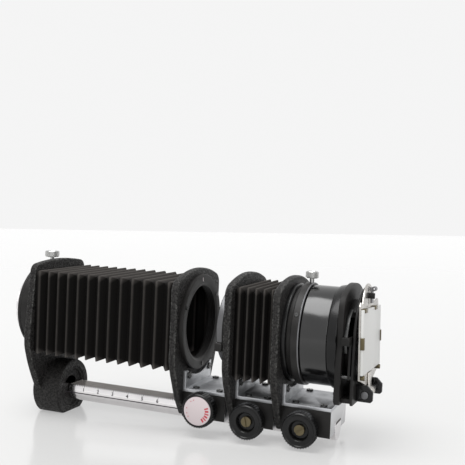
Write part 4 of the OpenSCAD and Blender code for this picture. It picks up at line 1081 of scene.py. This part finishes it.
def build_clamps(s):
    """Both clamp knobs with a slotted brass screw in their hollow, and the shoes that bear on the rail."""
    for kind, x, slot_turn in (("front", FRONT_CLAMP_X, 12), ("stage", STAGE_CLAMP_X, -48)):
        body = kind + "_clamp"
        piece(body + "_knob_ridged", knob(s, x, CLAMP_Z, True), body, "gloss_black", (body + "_knob",))
        head = slotted_head(2.8, 1.6, 0.8, 32)
        turn = Matrix.Rotation(-math.pi / 2, 4, "Z") @ Matrix.Rotation(math.radians(90 + slot_turn), 4, "X")
        placed(head, Matrix.Translation((x, KNOB_FRONT + 3.0, CLAMP_Z)) @ turn)
        near, far = -25.1, -8.7
        shank = lathe([(near, 0), (near, CLAMP_SCREW_R), (far, CLAMP_SCREW_R), (far, 0)],
                      (x, 0, CLAMP_Z), "Y", 32)
        piece(body + "_screw_slotted", merged([head, shank], "clamp screw"), body, "brass",
              (body + "_screw",))
        dress(body + "_shoe", looks["brass"])


# ---------------------------------------------------------------- drum

def build_drum(s):
    """The mount ring, the fixed collar with its screws, and the barrel and flare that turn in it."""
    x, bore_r = STAGE_X + STD_T, 21.6
    ring = [(x, bore_r), (x, COLLAR_R), (x + 2.1, COLLAR_R), (x + 2.6, 26.5), (x + 2.6, bore_r)]
    piece("mount_ring_turned", lathe(ring, (0, 0, AXIS_Z), round_by=0.15), "stage_carriage",
          "satin_black", ("mount_ring",), looks["gloss_black"])
    collar = [(152.4, 24.06), (152.4, 25.4), (154.9, 25.4), (155.1, 25.6), (155.1, 27.6), (155.5, 28),
              (159.1, 28), (159.5, 27.6), (159.5, 24.06)]
    piece("drum_collar_turned", lathe(collar, (0, 0, AXIS_Z), round_by=0.15), "stage_carriage",
          "gloss_black", ("drum_collar",), looks["collar_black"])
    a = math.radians(BAND_SCREW_ANGLE)
    out = (0, math.cos(a), math.sin(a))
    at = (BAND_SCREW_X, BAND_SCREW_AT * out[1], AXIS_Z + BAND_SCREW_AT * out[2])
    screws("drum_collar_screw_head", "stage_carriage", "drum_collar_screw", 1.1, 0.45, [(at, out)], 0.35)
    lock_screw("drum_lock", "drum_lock", DRUM_LOCK, s)
    barrel = [(152.7, bore_r), (152.7, 24), (159.7, 24), (159.8, 24.2), (159.8, 26.3), (160.3, 26.8),
              (173.9, 26.8), (174.3, 26.5), (174.3, bore_r)]
    piece("drum_barrel_turned", lathe(barrel, (0, 0, AXIS_Z), steps=128, round_by=0.1), "drum", "gloss_black",
          ("drum_barrel",), looks["drum_black"])
    # painted highlight: a thin bare metal ring that makes the bright line along the collar's edge
    edge = [(159.1, 27.98), (159.5, 27.6), (159.5, 27.4), (159.62, 27.5), (159.62, 27.66), (159.25, 28.0)]
    piece("drum_collar_worn_edge", lathe(edge, (0, 0, AXIS_Z)), "stage_carriage", "gloss_black",
          look=looks["spring_steel"])
    flare = [(174.3, bore_r), (174.3, 27.2), (174.7, 27.6), (176.0, 27.9), (179.1, 28.5),
             (179.5, 28.1), (179.5, bore_r)]
    piece("flare_ring_turned", lathe(flare, (0, 0, AXIS_Z), steps=128, round_by=0.12), "drum", "gloss_black",
          ("flare_ring",))


# ---------------------------------------------------------------- slide stage and gate

def soften_all(body, *rows):
    """CAD nodes of one body with rounded edges, from rows of node, edge width, slot and finish."""
    for node, width, slot, look in rows:
        piece(node + "_dressed", soften(node, width), body, slot, (node,), looks[look])


def build_slide_stage(s):
    """The plates, the tube and the sprung lever that hold a slide."""
    soften_all("drum",
               ("stage_plate", 0.6, "satin_black", "satin_black"),
               ("channel_floor", 0.3, "satin_black", "satin_black"),
               ("slide_plate", 0.35, "satin_black", "satin_black"),
               ("light_tube", 0.2, "grey_metal", "satin_black"))
    soften_all("lever", ("slide_lever", 0.2, "grey_metal", "satin_black"))
    soften_all("drum", ("lever_spring", 0.08, "screw_steel", "dark_screw"))
    dress("lever_pin", looks["dark_screw"])


def build_gate(s):
    """The gate with its opal panel, clips and latch, and the hinge that it swings on."""
    soften_all("drum",
               ("hinge_ears", 0.4, "gloss_black", "gloss_black"),
               ("gate_tongue", 0.2, "satin_black", "satin_black"))
    soften_all("gate",
               ("gate_plate", 0.2, "grey_metal", "nickel"),
               ("gate_lug", 0.3, "grey_metal", "nickel"),
               ("opal_panel", 0.35, "opal", "opal"),
               ("opal_clips", 0.12, "grey_metal", "brass"),
               ("gate_latch", 0.12, "screw_steel", "spring_steel"))
    dress("hinge_rod", looks["screw_steel"])
    piece("hinge_screws_rounded", soften("hinge_screws", 0.35, 3), "drum", "screw_steel", ("hinge_screws",),
          looks["adapter_tube"])


# ---------------------------------------------------------------- stage

def stage_material(name, color, rough, glow):
    """A pale, faintly glowing surface that keeps soft shadows."""
    f = Finish(name, roughness=rough, specular_ior_level=0.25, emission_strength=glow)
    f.set(emission_color=(1.0, 1.0, 1.0))
    f.set(base_color=f.mix(f.noise(3.0, 2.0), shade_of(color, 0.985), color))
    return f.material


def build_table(s):
    """The pale table, tilted along the rail as the photo shows it."""
    bm = bmesh.new()
    bmesh.ops.create_grid(bm, x_segments=2, y_segments=2, size=TABLE_REACH)
    mesh = bpy.data.meshes.new("floor")
    bm.to_mesh(mesh)
    bm.free()
    mesh.transform(Matrix.Translation(Vector(TABLE_AT) * MM) @ Matrix.Rotation(-TABLE_TILT, 4, "Y"))
    mesh.materials.append(stage_material("pale table", s.floor, 0.16, s.glow))
    floor = bpy.data.objects.new("table", mesh)
    bpy.context.scene.collection.objects.link(floor)


def build_world(s):
    """An even light, and a backdrop that only the camera, reflections and clear pieces see."""
    world = bpy.data.worlds.new("studio")
    bpy.context.scene.world = world
    world.use_nodes = True
    tree = world.node_tree
    tree.nodes.clear()
    link = tree.links.new

    def larger(one, two):
        node = tree.nodes.new("ShaderNodeMath")
        node.operation = "MAXIMUM"
        link(one, node.inputs[0])
        link(two, node.inputs[1])
        return node.outputs[0]

    def background(color, strength):
        node = tree.nodes.new("ShaderNodeBackground")
        node.inputs["Color"].default_value = (*color, 1)
        node.inputs["Strength"].default_value = strength
        return node.outputs[0]

    path = tree.nodes.new("ShaderNodeLightPath").outputs
    seen = larger(larger(path["Is Camera Ray"], path["Is Glossy Ray"]), path["Is Transmission Ray"])
    mix = tree.nodes.new("ShaderNodeMixShader")
    out = tree.nodes.new("ShaderNodeOutputWorld")
    link(seen, mix.inputs[0])
    link(background((1, 1, 1), s.fill), mix.inputs[1])
    link(background(s.backdrop, 1.0), mix.inputs[2])
    link(mix.outputs[0], out.inputs["Surface"])


def build_softboxes(s):
    """One softbox above the object, and a weaker one on its near right. Places in metres."""
    for name, at, aim, size, watts in (("top", (-0.1, -0.25, 1.1), (0.09, 0, 0.05), 0.75, s.key),
                                       ("near", (0.75, -0.9, 0.55), (0.1, 0, 0.06), 0.6, s.key * 0.45)):
        lamp = bpy.data.lights.new(name, "AREA")
        lamp.shape = "SQUARE"
        lamp.size = size
        lamp.energy = watts
        obj = bpy.data.objects.new(name + " softbox", lamp)
        turn = (Vector(aim) - Vector(at)).to_track_quat("-Z", "Y")
        obj.matrix_world = Matrix.Translation(at) @ turn.to_matrix().to_4x4()
        bpy.context.scene.collection.objects.link(obj)


def build_camera():
    """The camera at the photograph's viewing angle."""
    scene = bpy.context.scene
    camera = bpy.data.cameras.new("camera")
    camera.sensor_width = SENSOR_WIDTH
    camera.lens = SENSOR_WIDTH * FOCAL_PIXELS / PHOTO_WIDTH
    camera.clip_end = 20
    az, el, roll = (math.radians(v) for v in (VIEW_AZIMUTH, VIEW_ELEVATION, VIEW_ROLL))
    back = Vector((math.sin(az) * math.cos(el), -math.cos(az) * math.cos(el), math.sin(el)))
    right = (-back).cross(Vector((0, 0, 1))).normalized()
    up = right.cross(-back)
    level = right * math.cos(roll) + up * math.sin(roll)
    rise = -right * math.sin(roll) + up * math.cos(roll)
    pose = Matrix((level, rise, back)).transposed().to_4x4()
    pose.translation = Vector(CAMERA_AT) * MM
    obj = bpy.data.objects.new("camera", camera)
    scene.collection.objects.link(obj)
    obj.matrix_world = pose
    scene.camera = obj


def build_studio(s):
    """Everything that isn't the object."""
    build_table(s)
    build_world(s)
    build_softboxes(s)
    build_camera()
    bpy.context.scene.view_settings.view_transform = "Standard"


# ---------------------------------------------------------------- settings, operators and panel

def color_setting(name, description, default):
    """A colour that a user would change."""
    return FloatVectorProperty(name=name, description=description, default=default, subtype="COLOR",
                               size=3, min=0, max=1)


def length_setting(name, description, default, low, high):
    """A length that a user would change, in metres."""
    return FloatProperty(name=name, description=description, default=default, min=low, max=high,
                         precision=5, subtype="DISTANCE", unit="LENGTH")


class DuplicatorLooks(bpy.types.PropertyGroup):
    """Sizes and colours that a user would change."""
    paint: color_setting("Paint", "Colour of the castings' black paint", (0.0178, 0.0168, 0.0162))
    gloss: color_setting("Gloss", "Colour of the drum's and knobs' lacquer", (0.004, 0.004, 0.0042))
    skin: color_setting("Bellows skin", "Colour of the bellows", (0.0047, 0.0043, 0.0040))
    sheet: color_setting("Bracket sheet", "Colour of the brackets' bare metal", (0.56, 0.57, 0.59))
    opal: color_setting("Opal", "Colour of the opal panel", (0.64, 0.64, 0.625))
    red: color_setting("Red marks", "Colour of the drive knob's marks", (0.50, 0.05, 0.07))
    wrinkle_scale: FloatProperty(name="Wrinkle scale", description="Scale of the wrinkle paint's worms",
                                 default=950, min=100, max=4000)
    wrinkle_depth: length_setting("Wrinkle depth", "Depth of the paint's wrinkles", 0.0003, 0, 0.001)
    edge_round: length_setting("Edge rounding", "Radius of the castings' edges", 0.0013, 0.0002, 0.002)
    fold_round: length_setting("Fold width", "Half width of a pleat's flat ridge", 0.00035, 0.0001, 0.001)
    skin_wall: length_setting("Skin thickness", "Thickness of the bellows' skin", 0.001, 0.0003, 0.0012)
    numeral_height: length_setting("Numeral height", "Height of the rail's numerals", 0.003, 0.001, 0.004)
    knob_ridges: IntProperty(name="Knob ridges", description="Ridges round a knob", default=40,
                             min=20, max=80)
    lock_ridges: IntProperty(name="Lock screw ridges", description="Ridges round a lock screw's head",
                             default=26, min=12, max=48)


class DuplicatorStudio(bpy.types.PropertyGroup):
    """Light and background."""
    floor: color_setting("Table", "Colour of the table", (0.38, 0.38, 0.375))
    backdrop: color_setting("Backdrop", "Colour behind the object", (0.91, 0.91, 0.91))
    glow: FloatProperty(name="Table glow", description="Light that the table gives off", default=0.34,
                        min=0, max=1)
    fill: FloatProperty(name="Fill", description="Strength of the even light", default=0.62, min=0,
                        max=2)
    key: FloatProperty(name="Key", description="Power of the upper softbox", default=9, min=0, max=100,
                       subtype="POWER")


STEPS = [
    ("standards", "Standards", "Builds the four cast standards", build_standards),
    ("bellows", "Bellows", "Builds the long and the short bellows", build_bellows),
    ("camera_mount", "Camera mount", "Builds the collar, the turning ring and the lock screw",
     build_camera_mount),
    ("rail", "Rail", "Dresses the rail and builds its scale", build_rail),
    ("lens_ring", "Lens ring", "Builds the ring on the lens standard", build_lens_ring),
    ("adapter", "Adapter", "Builds the adapter before the front standard", build_adapter),
    ("brackets", "Brackets and blocks", "Builds the brackets, blocks and their screws", build_brackets),
    ("drive", "Drive knob", "Builds the drive knob and its face", build_drive),
    ("clamps", "Clamp knobs", "Builds the two clamp knobs and their screws", build_clamps),
    ("drum", "Drum", "Builds the mount ring, collar, barrel and flare", build_drum),
    ("slide_stage", "Slide stage", "Builds the plates, tube and lever of the slide stage",
     build_slide_stage),
    ("gate", "Gate", "Builds the hinged gate with its opal panel", build_gate),
]


def step_operator(key, label, text, build):
    """An operator for one group of pieces."""

    def execute(self, context):
        build(context.scene.duplicator_looks)
        return {"FINISHED"}

    return type("DUPLICATOR_OT_" + key, (bpy.types.Operator,),
                {"__doc__": text, "bl_idname": "duplicator." + key, "bl_label": label,
                 "bl_options": {"REGISTER", "UNDO"}, "execute": execute})


step_operators = [step_operator(*step) for step in STEPS]


class DUPLICATOR_OT_finishes(bpy.types.Operator):
    """Makes the finishes and the repeating trees"""
    bl_idname = "duplicator.finishes"
    bl_label = "Finishes"
    bl_options = {"REGISTER", "UNDO"}

    def execute(self, context):
        make_looks(context.scene.duplicator_looks)
        make_trees()
        return {"FINISHED"}


class DUPLICATOR_OT_studio(bpy.types.Operator):
    """Builds the table, the light and the camera"""
    bl_idname = "duplicator.studio"
    bl_label = "Studio"
    bl_options = {"REGISTER", "UNDO"}

    def execute(self, context):
        build_studio(context.scene.duplicator_studio)
        return {"FINISHED"}


class DUPLICATOR_PT_sidebar(bpy.types.Panel):
    """Sizes, colours and steps of the duplicator"""
    bl_idname = "DUPLICATOR_PT_sidebar"
    bl_label = "Duplicator"
    bl_space_type = "VIEW_3D"
    bl_region_type = "UI"
    bl_category = "Duplicator"

    def draw(self, context):
        for group in (context.scene.duplicator_looks, context.scene.duplicator_studio):
            for key in group.__annotations__:
                self.layout.prop(group, key)
        for operator in classes_of_steps():
            self.layout.operator(operator.bl_idname)


def classes_of_steps():
    """The operators in the order in which they run."""
    return [DUPLICATOR_OT_finishes, DUPLICATOR_OT_studio, *step_operators]


def register():
    for cls in (DuplicatorLooks, DuplicatorStudio, *classes_of_steps(), DUPLICATOR_PT_sidebar):
        bpy.utils.register_class(cls)
    bpy.types.Scene.duplicator_looks = PointerProperty(type=DuplicatorLooks)
    bpy.types.Scene.duplicator_studio = PointerProperty(type=DuplicatorStudio)


def unregister():
    del bpy.types.Scene.duplicator_studio
    del bpy.types.Scene.duplicator_looks
    for cls in (DUPLICATOR_PT_sidebar, *reversed(classes_of_steps()), DuplicatorStudio, DuplicatorLooks):
        bpy.utils.unregister_class(cls)


def main():
    """Builds every piece and the stage, and writes both boxes."""
    register()
    for operator in classes_of_steps():
        getattr(bpy.ops.duplicator, operator.bl_idname.split(".")[1])()


if __name__ == "__main__":
    main()
